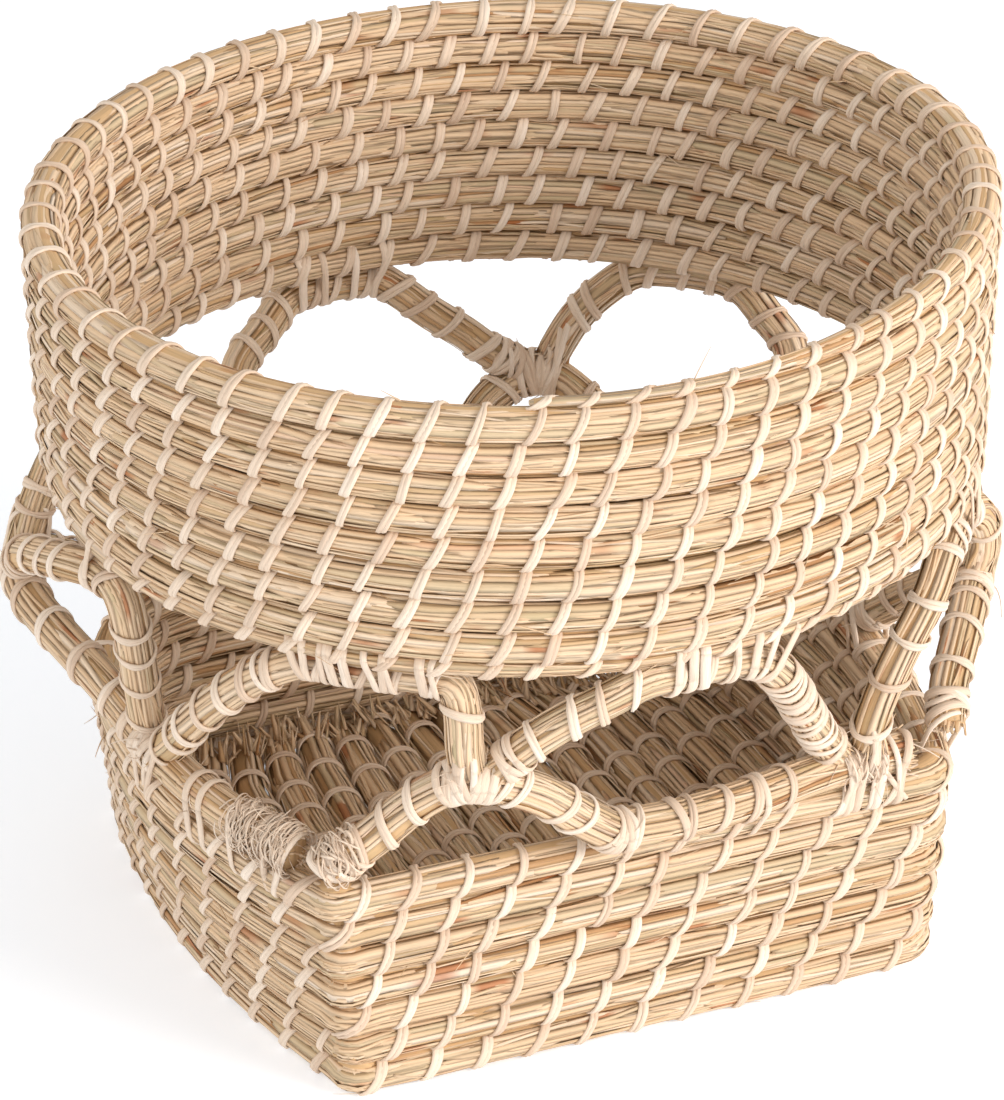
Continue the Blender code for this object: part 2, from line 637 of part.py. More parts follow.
def build_lashings(strip, waves, arches):
    """Wound strip at every joint of the openwork."""
    rim = rim_room()
    for index, side in enumerate(SIDES):
        after, before = SIDES[(index + 1) % 4], SIDES[index - 1]
        wave = waves[side]
        names = (side + "_long", side + "_corner", before + "_corner")
        ropes = [wave, waves[after]] + [arches[name] for name in names]
        peak = place_on(wave, PEAK_ANGLES[side])
        build_knot("lashing_peak_" + side, strip, peak, ropes, rim)
        foot = place_on(wave, FOOT_ANGLES[side]) + Vector((0, 0, KNOT_LIFT))
        build_knot("lashing_foot_" + side, strip, foot, ropes, rim)
        landing = place_on(wave, LANDING_ANGLES[side])
        stretch = nearest_stretch(wave, landing, LANDING_LASHING_LENGTH)
        build_sleeve("lashing_landing_" + side, strip, stretch, ropes, rim, (peak, foot))
        end, start = wave[-1], waves[after][0]
        middle = end.lerp(start, 0.5)
        reach = [p for p in wave + waves[after] if (p - middle).length < CORNER_LASHING_LENGTH / 2]
        build_sleeve("lashing_corner_" + side, strip, reach, ropes, rim, (peak, foot))


def centre_on_origin():
    """Move the finished model so that the origin lies under the middle of its box."""
    pieces = [thing for thing in bpy.data.objects if thing.type == "MESH" and not thing.hide_render]
    places = np.array([vert.co for piece in pieces for vert in piece.data.vertices])
    middle = (places.min(axis=0) + places.max(axis=0)) / 2
    for piece in pieces:
        piece.data.transform(Matrix.Translation((-middle[0], -middle[1], 0)))


def main():
    clear_scene()
    grass = make_material("dried_grass", GRASS_COLOUR, 0.75)
    strip = make_material("wrapping_strip", STRIP_COLOUR, 0.7)
    build_coils(grass)
    build_floor(grass)
    waves, arches = build_openwork(grass)
    build_lashings(strip, waves, arches)
    centre_on_origin()


main()
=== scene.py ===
# %% [markdown]
# # A belly basket of coiled grass rope
# The real basket is sewn from bundles of dried grass. A rope of loose stalks is wound round and round,
# and a strip of pale fibre binds each course to the one below. Between the squared base and the round
# collar stands a ring of open rope arches. Everything that the eye sees is stalks and strips, so this
# lesson lays thousands of them, each a small closed strand, along the ropes of the frame.

# %% Load the frame
import math
from types import SimpleNamespace

import bmesh
import bpy
import numpy as np
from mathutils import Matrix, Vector


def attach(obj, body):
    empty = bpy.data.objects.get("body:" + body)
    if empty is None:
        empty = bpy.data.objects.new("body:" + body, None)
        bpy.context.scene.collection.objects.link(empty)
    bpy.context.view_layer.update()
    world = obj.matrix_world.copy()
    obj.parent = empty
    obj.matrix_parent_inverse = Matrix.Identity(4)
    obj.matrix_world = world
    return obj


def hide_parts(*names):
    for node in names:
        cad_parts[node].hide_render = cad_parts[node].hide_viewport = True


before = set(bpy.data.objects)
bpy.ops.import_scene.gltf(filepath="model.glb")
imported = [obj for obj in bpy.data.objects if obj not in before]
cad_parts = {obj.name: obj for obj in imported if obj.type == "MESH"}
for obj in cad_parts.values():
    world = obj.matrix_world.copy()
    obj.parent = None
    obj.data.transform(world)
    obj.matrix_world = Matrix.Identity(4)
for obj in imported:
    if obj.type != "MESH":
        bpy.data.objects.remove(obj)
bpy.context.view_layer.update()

# %% [markdown]
# ## Sizes
# A picture of a basket is only right when its ropes lie where the real ones lie. The same sizes and
# rules that drew the frame are repeated here, in metres, so that every stalk follows its own rope.

# %% Sizes of the ropes
MM = 0.001
ROPE_WIDTH = 13.4 * MM
OPEN_ROPE_DIAMETER = 13.2 * MM
OPEN_ROPE_RADIUS = OPEN_ROPE_DIAMETER / 2
COURSE_GAP = 0.6 * MM
SEAT_GAP = 0.3 * MM
BASE_SIDE = 230.0 * MM
BASE_COURSES = 7
BASE_PITCH = 12.0 * MM
COLLAR_BOTTOM_RADIUS = 161.5 * MM
RIM_RADIUS_X = 166.5 * MM
RIM_RADIUS_Y = 157.5 * MM
COLLAR_PITCH = 11.8 * MM
COLLAR_TURNS = 9.5
COLLAR_START_TURN = 0.3
UNDERSIDE_FALL = 6
COLLAR_END_ANGLE = -110.0
RIM_TAIL_TURNS = 0.3
TAIL_SHARE = 0.26
OPENWORK_HEIGHT = 87.2 * MM
FLOOR_BUNDLES = 15
RIM_MIDDLE = np.array((2.399, -2.797, 0.0)) * MM

BASE_ROPE_HEIGHT = BASE_PITCH - COURSE_GAP
COLLAR_ROPE_HEIGHT = COLLAR_PITCH - COURSE_GAP
BASE_HEIGHT = BASE_PITCH * (BASE_COURSES - 1) + BASE_ROPE_HEIGHT
COLLAR_BOTTOM = BASE_HEIGHT + OPENWORK_HEIGHT
RIM_ROPE_Z = BASE_HEIGHT + SEAT_GAP + OPEN_ROPE_RADIUS
COLLAR_HEIGHT = COLLAR_PITCH * (COLLAR_TURNS - 1)

# %% Outline of the base, as shares of its side
LOW_CORNERS = ((0.483, 0.470), (-0.500, 0.478), (-0.468, -0.531), (0.483, -0.502))
TOP_CORNERS = ((0.508, 0.487), (-0.511, 0.452), (-0.500, -0.533), (0.502, -0.520))
LOW_BULGES = (0.013, 0.069, 0.004, 0.052)
TOP_BULGES = (0.013, 0.121, 0.000, 0.070)
CORNER_CUTS = (0.130, 0.157, 0.012, 0.050)
CLIMB_HALF_ANGLE = 12.0

# %% Ropes of the openwork: angle, share of the rise from rim to collar, bulge in rope diameters
WAVES = {
    "front": ((-134, 0.02, 0.0), (-129, 0.16, 0.0), (-123, 0.38, 0.3), (-117, 0.50, 0.6),
              (-109, 0.39, 0.7), (-101, 0.12, 0.8), (-94, -0.05, 0.9), (-84, -0.07, 0.95),
              (-73, -0.03, 0.7), (-60, 0.0, 0.2), (-49.5, 0.0, 0.0)),
    "right": ((-43.5, 0.03, 0.35), (-40, 0.17, 0.45), (-36, 0.31, 0.7), (-31.5, 0.43, 0.9),
              (-27, 0.49, 1.0), (-21, 0.36, 0.8), (-14, 0.12, 0.2), (-8, 0.0, 0.0), (5, 0.0, 0.0),
              (18, 0.0, 0.0), (30, 0.0, 0.0), (39, 0.0, 0.0)),
    "back": ((47, 0.02, 0.0), (52, 0.18, 0.1), (58, 0.38, 0.4), (64, 0.48, 0.7), (71, 0.40, 0.6),
             (79, 0.16, 0.0), (87, 0.0, 0.0), (98, 0.0, 0.0), (110, 0.0, 0.0), (121, 0.0, 0.0),
             (130, 0.0, 0.0)),
    "left": ((136, 0.02, 0.0), (145, 0.22, 0.6), (152, 0.42, 1.4), (159, 0.48, 1.75), (166, 0.45, 1.6),
             (173, 0.38, 1.1), (180, 0.26, 0.55), (186, 0.10, 0.2), (192, 0.0, 0.0), (204, 0.0, 0.0),
             (214, 0.0, 0.0), (221, 0.0, 0.0)),
}
ARCHES = {
    "front_long": ((-115, 0.50, 0.6), (-110.5, 0.66, 0.4), (-105.5, 0.80, 0.2), (-100, 0.91, 0.0),
                   (-94.5, 1.0, -0.2), (-88, 1.0, -0.35), (-82.5, 1.0, -0.3), (-79, 0.95, -0.15),
                   (-75, 0.80, 0.0), (-69, 0.53, 0.0), (-64, 0.31, 0.0), (-60.5, 0.16, 0.0),
                   (-58, 0.06, 0.0)),
    "right_long": ((-26, 0.52, 1.0), (-18, 0.80, 0.5), (-9, 0.96, 0.0), (-3, 1.0, 0.0), (3, 0.94, 0.0),
                   (8, 0.72, 0.0), (12, 0.42, 0.0), (15, 0.08, 0.0)),
    "back_long": ((65, 0.52, 0.6), (70, 0.60, 0.3), (75, 0.72, 0.3), (79.5, 0.82, 0.3),
                  (83.5, 0.93, 0.3), (86.5, 1.0, 0.3), (90, 1.0, 0.3), (94.5, 1.0, 0.3), (99, 0.98, 0.3),
                  (103.5, 0.88, 0.3), (109.5, 0.76, 0.3), (115.5, 0.52, 0.1), (124, 0.08, 0.0)),
    "left_long": ((160, 0.52, 1.75), (168, 0.76, 1.3), (178, 0.92, 0.6), (186, 0.99, 0.0),
                  (190.5, 0.96, 0.0), (191, 0.80, 0.0), (190, 0.55, 0.0), (188.5, 0.30, 0.0),
                  (187, 0.08, 0.0)),
    "front_corner": ((-55.2, 0.09, 0.1), (-55.2, 0.28, 0.15), (-54.2, 0.48, 0.15), (-52, 0.67, 0.15),
                     (-48.5, 0.83, 0.15), (-44, 0.96, 0.1), (-39, 1.0, 0.0), (-34, 1.0, 0.0),
                     (-30.6, 0.96, 0.35), (-28.6, 0.84, 0.75), (-27.3, 0.68, 1.0), (-27, 0.52, 1.0)),
    "right_corner": ((18, 0.08, 0.0), (21, 0.36, 0.0), (25, 0.62, 0.2), (29, 0.78, 0.6), (33.5, 0.88, 0.7),
                     (37, 0.97, 0.8), (40.5, 1.0, 0.9), (45, 1.0, 0.9), (51.5, 0.99, 0.7),
                     (56, 0.88, 0.6), (59.5, 0.74, 0.6), (63, 0.52, 0.7)),
    "back_corner": ((127, 0.08, 0.0), (131, 0.45, 0.0), (136, 0.75, 0.0), (142, 1.0, 0.0),
                    (148.5, 1.0, 0.05), (153, 0.95, 0.35), (156, 0.82, 0.85), (158, 0.67, 1.35),
                    (159, 0.52, 1.75)),
    "left_corner": ((192, 0.08, 0.0), (196.5, 0.21, 0.0), (202, 0.41, 0.0), (208.5, 0.66, -0.1),
                    (215.5, 0.89, -0.3), (223, 1.02, -0.6), (232, 1.04, -0.7), (238, 1.03, -0.7),
                    (241, 0.98, -0.5), (242, 0.85, -0.1), (242.3, 0.68, 0.35), (243, 0.52, 0.6)),
}
SIDES = ("front", "right", "back", "left")
FOOT_ANGLES = {"front": -55, "right": 16.5, "back": 125.5, "left": 189.5}
PEAK_ANGLES = {"front": -117, "right": -27, "back": 64, "left": 159}
LANDING_ANGLES = {"front": -96, "right": -10, "back": 85, "left": 203}

# %% [markdown]
# ## Where the ropes run
# A coil could be drawn by hand, but then every course would need its own correction. A rule does it
# better: the collar is a spiral on a slightly oval cylinder, and the base is a stack of level courses
# on a squared outline that climb from one to the next at one corner.


# %% The base's outline
def base_outline(rise):
    """The centre line of a base course as an array of (x, y), at a share of the base's height."""
    low, top = np.array(LOW_CORNERS), np.array(TOP_CORNERS)
    corners = BASE_SIDE * (low + (top - low) * rise)
    low_bulge, top_bulge = np.array(LOW_BULGES), np.array(TOP_BULGES)
    bulges = BASE_SIDE * (low_bulge + (top_bulge - low_bulge) * rise)
    cuts = BASE_SIDE * np.array(CORNER_CUTS)

    def side_point(index, share):
        start = corners[index]
        along = corners[(index + 1) % 4] - start
        outward = np.array((along[1], -along[0])) / np.linalg.norm(along)
        return start + along * share + outward * bulges[index] * 4 * share * (1 - share)

    points = []
    for index in range(4):
        after = (index + 1) % 4
        length = np.linalg.norm(corners[after] - corners[index])
        next_length = np.linalg.norm(corners[(index + 2) % 4] - corners[after])
        first, last = cuts[index] / length, 1 - cuts[after] / length
        points += [side_point(index, share) for share in np.linspace(first, last, 24)]
        leave = side_point(index, last)
        arrive = side_point(after, cuts[after] / next_length)
        for share in np.linspace(0, 1, 12)[1:-1]:
            back = 1 - share
            points.append(back ** 2 * leave + 2 * share * back * corners[after] + share ** 2 * arrive)
    return np.array(points)


LEVELS = np.linspace(0, 1, 15)
ANGLE_GRID = np.arange(0, 360, 0.5)


def outline_radii(rise):
    outline = base_outline(rise)
    angles = np.degrees(np.arctan2(outline[:, 1], outline[:, 0])) % 360
    order = np.argsort(angles)
    return np.interp(ANGLE_GRID, angles[order], np.hypot(*outline.T)[order], period=360)


RADIUS_TABLE = np.array([outline_radii(rise) for rise in LEVELS])


def base_radius(angle, rise):
    """Distance from the axis to a base course's centre line, for arrays of angles and rises."""
    angle = np.asarray(angle, float)
    level = np.clip(np.asarray(rise, float), 0, 1) * (len(LEVELS) - 1)
    lower = np.minimum(level.astype(int), len(LEVELS) - 2)
    column = (angle % 360) / 0.5
    left = column.astype(int) % len(ANGLE_GRID)
    right = (left + 1) % len(ANGLE_GRID)
    blend = column - np.floor(column)
    low = RADIUS_TABLE[lower, left] * (1 - blend) + RADIUS_TABLE[lower, right] * blend
    high = RADIUS_TABLE[lower + 1, left] * (1 - blend) + RADIUS_TABLE[lower + 1, right] * blend
    return low + (high - low) * (level - lower)


# %% The collar's spiral and the base's courses
def polar(angle, radius, height):
    turn = np.radians(angle)
    angle, radius, height = np.broadcast_arrays(turn, radius, height)
    return np.stack((radius * np.cos(turn), radius * np.sin(turn), height), axis=-1)


def smooth_step(share):
    share = np.clip(share, 0, 1)
    return share * share * (3 - 2 * share)


def collar_radius(angle, rise):
    radius_x = COLLAR_BOTTOM_RADIUS + (RIM_RADIUS_X - COLLAR_BOTTOM_RADIUS) * rise
    radius_y = COLLAR_BOTTOM_RADIUS + (RIM_RADIUS_Y - COLLAR_BOTTOM_RADIUS) * rise
    turn = np.radians(angle)
    return 1 / np.hypot(np.cos(turn) / radius_x, np.sin(turn) / radius_y)


COLLAR_ZERO_ANGLE = COLLAR_END_ANGLE + 360 * COLLAR_TURNS


def collar_line(turn):
    """Places and size shares of the collar's rope for an array of turn counts."""
    first = (COLLAR_PITCH * turn - COURSE_GAP) / COLLAR_ROPE_HEIGHT
    tail = TAIL_SHARE + (1 - TAIL_SHARE) * smooth_step((COLLAR_TURNS - turn) / RIM_TAIL_TURNS)
    share = np.where(turn < 1, first, tail)
    underside = COLLAR_BOTTOM + COLLAR_PITCH * np.maximum(turn - 1, 0)
    height = underside + share * COLLAR_ROPE_HEIGHT / 2
    angle = COLLAR_ZERO_ANGLE - 360 * turn
    rise = (height - COLLAR_BOTTOM) / COLLAR_HEIGHT
    return polar(angle, collar_radius(angle, rise), height), share


def collar_underside(angle):
    turn = ((COLLAR_ZERO_ANGLE - angle) % 360) / 360
    rise = np.maximum(0, np.minimum(turn, (COLLAR_START_TURN - turn) * UNDERSIDE_FALL))
    return COLLAR_BOTTOM + COLLAR_PITCH * rise


CLIMB_CORNER = math.degrees(math.atan2(LOW_CORNERS[0][1], LOW_CORNERS[0][0]))


def base_line(turn):
    """Places and size shares of the base's rope, where a turn is measured along the wall."""
    circle = CLIMB_CORNER + CLIMB_HALF_ANGLE + np.linspace(0, 360, 721)
    wall = polar(circle, base_radius(circle, np.full(721, 0.5)), 0.0)
    along = np.concatenate(([0], np.cumsum(np.linalg.norm(np.diff(wall, axis=0), axis=1))))
    angle = np.interp(turn % 1, along / along[-1], circle)
    course = np.floor(turn)
    climb_start = CLIMB_CORNER + 360 - CLIMB_HALF_ANGLE
    climb = smooth_step((angle - climb_start) / (2 * CLIMB_HALF_ANGLE))
    climb = np.where(course >= BASE_COURSES - 1, 0, climb)
    share = np.ones_like(angle)
    height = BASE_PITCH * (course + climb) + share * BASE_ROPE_HEIGHT / 2
    rise = (height - BASE_ROPE_HEIGHT / 2) / (BASE_HEIGHT - BASE_ROPE_HEIGHT)
    return polar(angle, base_radius(angle, rise), height), share


# %% The openwork's ropes
def smooth_rows(rows, steps=16):
    """A smooth curve through rows of numbers."""
    rows = np.array(rows, float)
    ends = np.vstack((rows[0] * 2 - rows[1], rows, rows[-1] * 2 - rows[-2]))
    s = np.linspace(0, 1, steps, endpoint=False)[:, None]
    dense = []
    for a, b, c, d in zip(ends, ends[1:], ends[2:], ends[3:]):
        dense.append(0.5 * (2 * b + (c - a) * s + (2 * a - 5 * b + 4 * c - d) * s ** 2
                            + (3 * b - a - 3 * c + d) * s ** 3))
    return np.vstack(dense + [rows[-1:]])


def open_path(rows):
    dense = smooth_rows(rows)
    angle, rise, bulge = dense[:, 0], np.clip(dense[:, 1], 0, 1), dense[:, 2]
    top = collar_underside(angle) - SEAT_GAP - OPEN_ROPE_RADIUS
    low = polar(angle, base_radius(angle, np.ones_like(angle)), RIM_ROPE_Z)
    high = polar(angle, collar_radius(angle, 0.0), top)
    outward = polar(angle, 1.0, 0.0)
    return low + (high - low) * rise[:, None] + outward * bulge[:, None] * OPEN_ROPE_DIAMETER


# %% [markdown]
# ## A rope as a place to lay stalks on
# Each rope is kept as a line with a direction, an outward side and a top side at every point. A place
# on its surface is then a distance along it and an angle round it, and anything can be laid there.


# %% Ropes
def unit(vectors):
    return vectors / np.maximum(np.linalg.norm(vectors, axis=-1, keepdims=True), 1e-12)


class Rope:
    """A bundle's centre line with its frame and half sizes, read by distance along it."""

    def __init__(self, line, half_width, half_height, squareness=2.0, bend_weight=0.02, upright=False):
        gaps = np.linalg.norm(np.diff(line, axis=0), axis=1)
        distance = np.concatenate(([0], np.cumsum(gaps)))
        count = max(8, int(distance[-1] / (1.5 * MM)))
        self.s = np.linspace(0, distance[-1], count)
        self.line = np.stack([np.interp(self.s, distance, line[:, axis]) for axis in range(3)], axis=1)
        smooth = self.line.copy()
        smooth[1:-1] = (self.line[:-2] + 2 * self.line[1:-1] + self.line[2:]) / 4
        self.line = smooth + RIM_MIDDLE
        self.tangent = unit(np.gradient(self.line, self.s, axis=0))
        if upright:
            hint = np.cross(self.tangent, (0.0, 0.0, 1.0))
        else:
            hint = self.line * (1.0, 1.0, 0.0)
        self.side = unit(hint - self.tangent * np.sum(hint * self.tangent, axis=1, keepdims=True))
        self.top = np.cross(self.side, self.tangent)
        source = distance / distance[-1]
        here = self.s / distance[-1]
        self.width = np.interp(here, source, np.broadcast_to(half_width, source.shape))
        self.height = np.interp(here, source, np.broadcast_to(half_height, source.shape))
        self.squareness = squareness
        bend = np.linalg.norm(np.gradient(self.tangent, self.s, axis=0), axis=1)
        effort = 1 + bend * bend_weight
        steps = (effort[1:] + effort[:-1]) / 2 * np.diff(self.s)
        self.effort = np.concatenate(([0], np.cumsum(steps)))
        self.length = float(self.s[-1])
        self.marks = distance

    def last_part(self, length):
        """The line and half sizes of the rope's last stretch."""
        cut = np.searchsorted(self.s, self.length - length)
        return SimpleNamespace(line=self.line[cut:], width=self.width[cut:], height=self.height[cut:])

    def read(self, values, s):
        return np.stack([np.interp(s, self.s, values[:, axis]) for axis in range(3)], axis=-1)

    def spread(self, start, length, rings):
        """Distances from start to start + length, closer together where the rope bends."""
        first = np.interp(start, self.s, self.effort)
        last = np.interp(start + length, self.s, self.effort)
        share = np.linspace(0, 1, rings)
        wanted = first[:, None] + (last - first)[:, None] * share
        return np.interp(wanted, self.effort, self.s)

    def surface(self, s, turn, lift=0.0):
        """Places on the rope's surface and the outward directions there; turn is in radians."""
        centre = self.read(self.line, s)
        side, top = self.read(self.side, s), self.read(self.top, s)
        width, height = np.interp(s, self.s, self.width), np.interp(s, self.s, self.height)
        cosine, sine = np.cos(turn), np.sin(turn)
        power = self.squareness
        reach = (np.abs(cosine) ** power + np.abs(sine) ** power) ** (-1 / power)
        across = (width * reach * cosine)[..., None]
        above = (height * reach * sine)[..., None]
        outward = unit(side * (cosine / width)[..., None] + top * (sine / height)[..., None])
        place = centre + side * across + top * above
        return place + outward * np.broadcast_to(lift, np.shape(s))[..., None], outward


def wound_rope(rule, first, last, per_turn, width, height, squareness):
    turns = np.linspace(first, last, int(abs(last - first) * per_turn))
    line, share = rule(turns)
    return Rope(line, width / 2 * share, height / 2 * share, squareness, upright=True), turns


# Read from the rim down, the collar's rope runs the same way round as the base's.
collar_rope, collar_turns = wound_rope(
    collar_line, COLLAR_TURNS, COLLAR_START_TURN, 240, ROPE_WIDTH, COLLAR_PITCH, 2.3)
base_rope, base_turns = wound_rope(base_line, 0.0, BASE_COURSES - 0.07, 480, ROPE_WIDTH, BASE_PITCH, 2.3)
# Where the base's rope turns a sharp corner its stalks stand out in a point.
heading = np.unwrap(np.arctan2(base_rope.tangent[:, 1], base_rope.tangent[:, 0]))
turning = np.gradient(heading) / np.gradient(base_rope.s)
reach = max(3, int(5 * MM / np.mean(np.diff(base_rope.s))))
turning = np.convolve(turning, np.bartlett(2 * reach + 1) / reach, mode="same")
base_rope.width = base_rope.width * (1 + 0.34 * np.clip(turning * 8 * MM - 0.25, 0, 1))

WAVE_RADIUS = 1.1 * OPEN_ROPE_RADIUS
wave_ropes = {side: Rope(open_path(rows), WAVE_RADIUS, WAVE_RADIUS) for side, rows in WAVES.items()}
arch_ropes = {name: Rope(open_path(rows), OPEN_ROPE_RADIUS, OPEN_ROPE_RADIUS) for name, rows in ARCHES.items()}
print("collar rope %.2f m, base rope %.2f m" % (collar_rope.length, base_rope.length))

# %% [markdown]
# ## One strand, laid many times
# A stalk or a strip is a thin tube with closed ends. One is made with bmesh: a prism, cut into rings.
# An Array modifier repeats it, and then each copy's rings are moved to the places worked out for it.
# That keeps the making in Blender's own tools and still lays thousands of strands in a second.


# %% Strands
def strand_template(sides, rings):
    """A closed prism along Z, and for each of its points the ring and the angle it belongs to."""
    work = bmesh.new()
    bmesh.ops.create_cone(work, cap_ends=True, segments=sides, radius1=1.0, radius2=1.0, depth=1.0)
    uprights = [edge for edge in work.edges if abs(edge.verts[0].co.z - edge.verts[1].co.z) > 0.5]
    bmesh.ops.subdivide_edges(work, edges=uprights, cuts=rings - 2, use_grid_fill=False)
    mesh = bpy.data.meshes.new("strand")
    work.to_mesh(mesh)
    work.free()
    mesh.shade_smooth()
    places = np.empty(len(mesh.vertices) * 3, np.float32)
    mesh.vertices.foreach_get("co", places)
    places = places.reshape(-1, 3)
    ring = np.rint((places[:, 2] + 0.5) * (rings - 1)).astype(int)
    return mesh, ring, np.arctan2(places[:, 1], places[:, 0])


def lay_strands(name, places, outward, half_width, half_thickness, material, slot, shades, sides=5):
    """One piece made of many strands; places and outward are arrays of strand, ring, xyz."""
    strands, rings = places.shape[:2]
    template, ring, angle = strand_template(sides, rings)
    one = bpy.data.objects.new(name, template)
    bpy.context.scene.collection.objects.link(one)
    copies = one.modifiers.new("copies", "ARRAY")
    copies.count = strands
    copies.use_relative_offset = False
    copies.use_merge_vertices = False
    graph = bpy.context.evaluated_depsgraph_get()
    mesh = bpy.data.meshes.new_from_object(one.evaluated_get(graph))
    bpy.data.objects.remove(one, do_unlink=True)
    tangent = unit(np.gradient(places, axis=1))
    outward = unit(outward - tangent * np.sum(outward * tangent, axis=2, keepdims=True))
    across = np.cross(outward, tangent)
    half_width = np.broadcast_to(half_width, (strands, rings))[:, ring, None]
    half_thickness = np.broadcast_to(half_thickness, (strands, rings))[:, ring, None]
    cosine, sine = np.cos(angle)[None, :, None], np.sin(angle)[None, :, None]
    points = places[:, ring] + across[:, ring] * half_width * cosine + outward[:, ring] * half_thickness * sine
    by_ring = points[:, np.argsort(ring, kind="stable"), 2].reshape(strands, rings, -1)
    lowest = np.min(by_ring, axis=2)
    points[..., 2] += np.maximum(0.1 * MM - lowest, 0)[:, ring]
    mesh.vertices.foreach_set("co", points.astype(np.float32).ravel())
    steps = np.linalg.norm(np.diff(places, axis=1), axis=2)
    along = np.concatenate((np.zeros((strands, 1)), np.cumsum(steps, axis=1)), axis=1)[:, ring]
    store(mesh, "along", along)
    store(mesh, "across", half_width[..., 0] * np.cos(angle)[None, :] / MM)
    store(mesh, "shade", np.repeat(np.asarray(shades)[:, None], len(ring), axis=1))
    mesh.update()
    mesh.name = name
    mesh.materials.clear()
    mesh.materials.append(material)
    piece = bpy.data.objects.new(name, mesh)
    bpy.context.scene.collection.objects.link(piece)
    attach(piece, "root")
    print(name, strands, "strands,", sum(len(face.vertices) - 2 for face in mesh.polygons), "triangles")
    return piece


def store(mesh, name, values):
    attribute = mesh.attributes.new(name, "FLOAT", "POINT")
    attribute.data.foreach_set("value", np.asarray(values, np.float32).ravel())

# %% [markdown]
# ## Materials
# Dried grass is a hollow stalk with a waxy skin: pale straw to tan, some stalks still grey green, a few
# rusty ones, with fine ribs along them and a dull shine. Each strand carries a number of its own, which
# picks its colour from a ramp. The fine ribs come from noise stretched along the stalk. Besides the bump,
# the same noise darkens the colour along the ribs, partly the stalk's own fine dark lines and partly
# painted shade in the grooves, and it lightens the colour on the ridges as a painted highlight.


# %% Material helpers
def linear(code):
    """An sRGB hex colour as linear RGBA."""
    values = [int(code[index:index + 2], 16) / 255 for index in (1, 3, 5)]
    return tuple(v / 12.92 if v <= 0.04045 else ((v + 0.055) / 1.055) ** 2.4 for v in values) + (1.0,)


def add(tree, kind, sockets=(), **settings):
    """A node with its settings; sockets are (input, value or output to link)."""
    node = tree.nodes.new(kind)
    for name, value in settings.items():
        setattr(node, name, value)
    for name, value in sockets:
        if isinstance(value, bpy.types.NodeSocket):
            tree.links.new(value, node.inputs[name])
        else:
            node.inputs[name].default_value = value
    return node


def new_material(name):
    material = bpy.data.materials.new(name)
    material.use_nodes = True
    return material, material.node_tree, material.node_tree.nodes["Principled BSDF"]


def set_ramp(ramp, stops):
    elements = ramp.color_ramp.elements
    while len(elements) > 1:
        elements.remove(elements[-1])
    elements[0].position = stops[0][0]
    elements[0].color = linear(stops[0][1])
    for position, code in stops[1:]:
        elements.new(position).color = linear(code)


def strand_space(tree, stretch, own_scale):
    """Coordinates on a strand in mm across it, squeezed along it, and shifted for each strand."""
    shade = add(tree, "ShaderNodeAttribute", attribute_name="shade").outputs["Fac"]
    along = add(tree, "ShaderNodeAttribute", attribute_name="along").outputs["Fac"]
    across = add(tree, "ShaderNodeAttribute", attribute_name="across").outputs["Fac"]
    squeezed = add(tree, "ShaderNodeMath", [(0, along), (1, stretch)], operation="MULTIPLY").outputs[0]
    own = add(tree, "ShaderNodeMath", [(0, shade), (1, own_scale)], operation="MULTIPLY").outputs[0]
    place = add(tree, "ShaderNodeCombineXYZ", [("X", across), ("Y", squeezed), ("Z", own)]).outputs[0]
    return shade, along, own, place


def tinted(tree, factor, under, over, mode="MIX"):
    """Mix two colours; either may be a colour or an output."""
    mix = add(tree, "ShaderNodeMix", data_type="RGBA", blend_type=mode)
    for socket, value in ((mix.inputs[0], factor), (mix.inputs[6], under), (mix.inputs[7], over)):
        if isinstance(value, bpy.types.NodeSocket):
            tree.links.new(value, socket)
        else:
            socket.default_value = value
    return mix.outputs[2]


def remap(tree, value, low, high, new_low, new_high):
    return add(tree, "ShaderNodeMapRange", [("Value", value), ("From Min", low), ("From Max", high),
                                            ("To Min", new_low), ("To Max", new_high)]).outputs[0]


# %% Dried grass
STALK_STOPS = (
    (0.00, "#9c6f47"), (0.07, "#b98d63"), (0.17, "#caa77d"), (0.27, "#cdb897"), (0.38, "#d9bb99"),
    (0.52, "#dec09d"), (0.68, "#e1c6a6"), (0.84, "#e3ccb1"), (0.95, "#e6d3be"), (1.00, "#d39f70"))


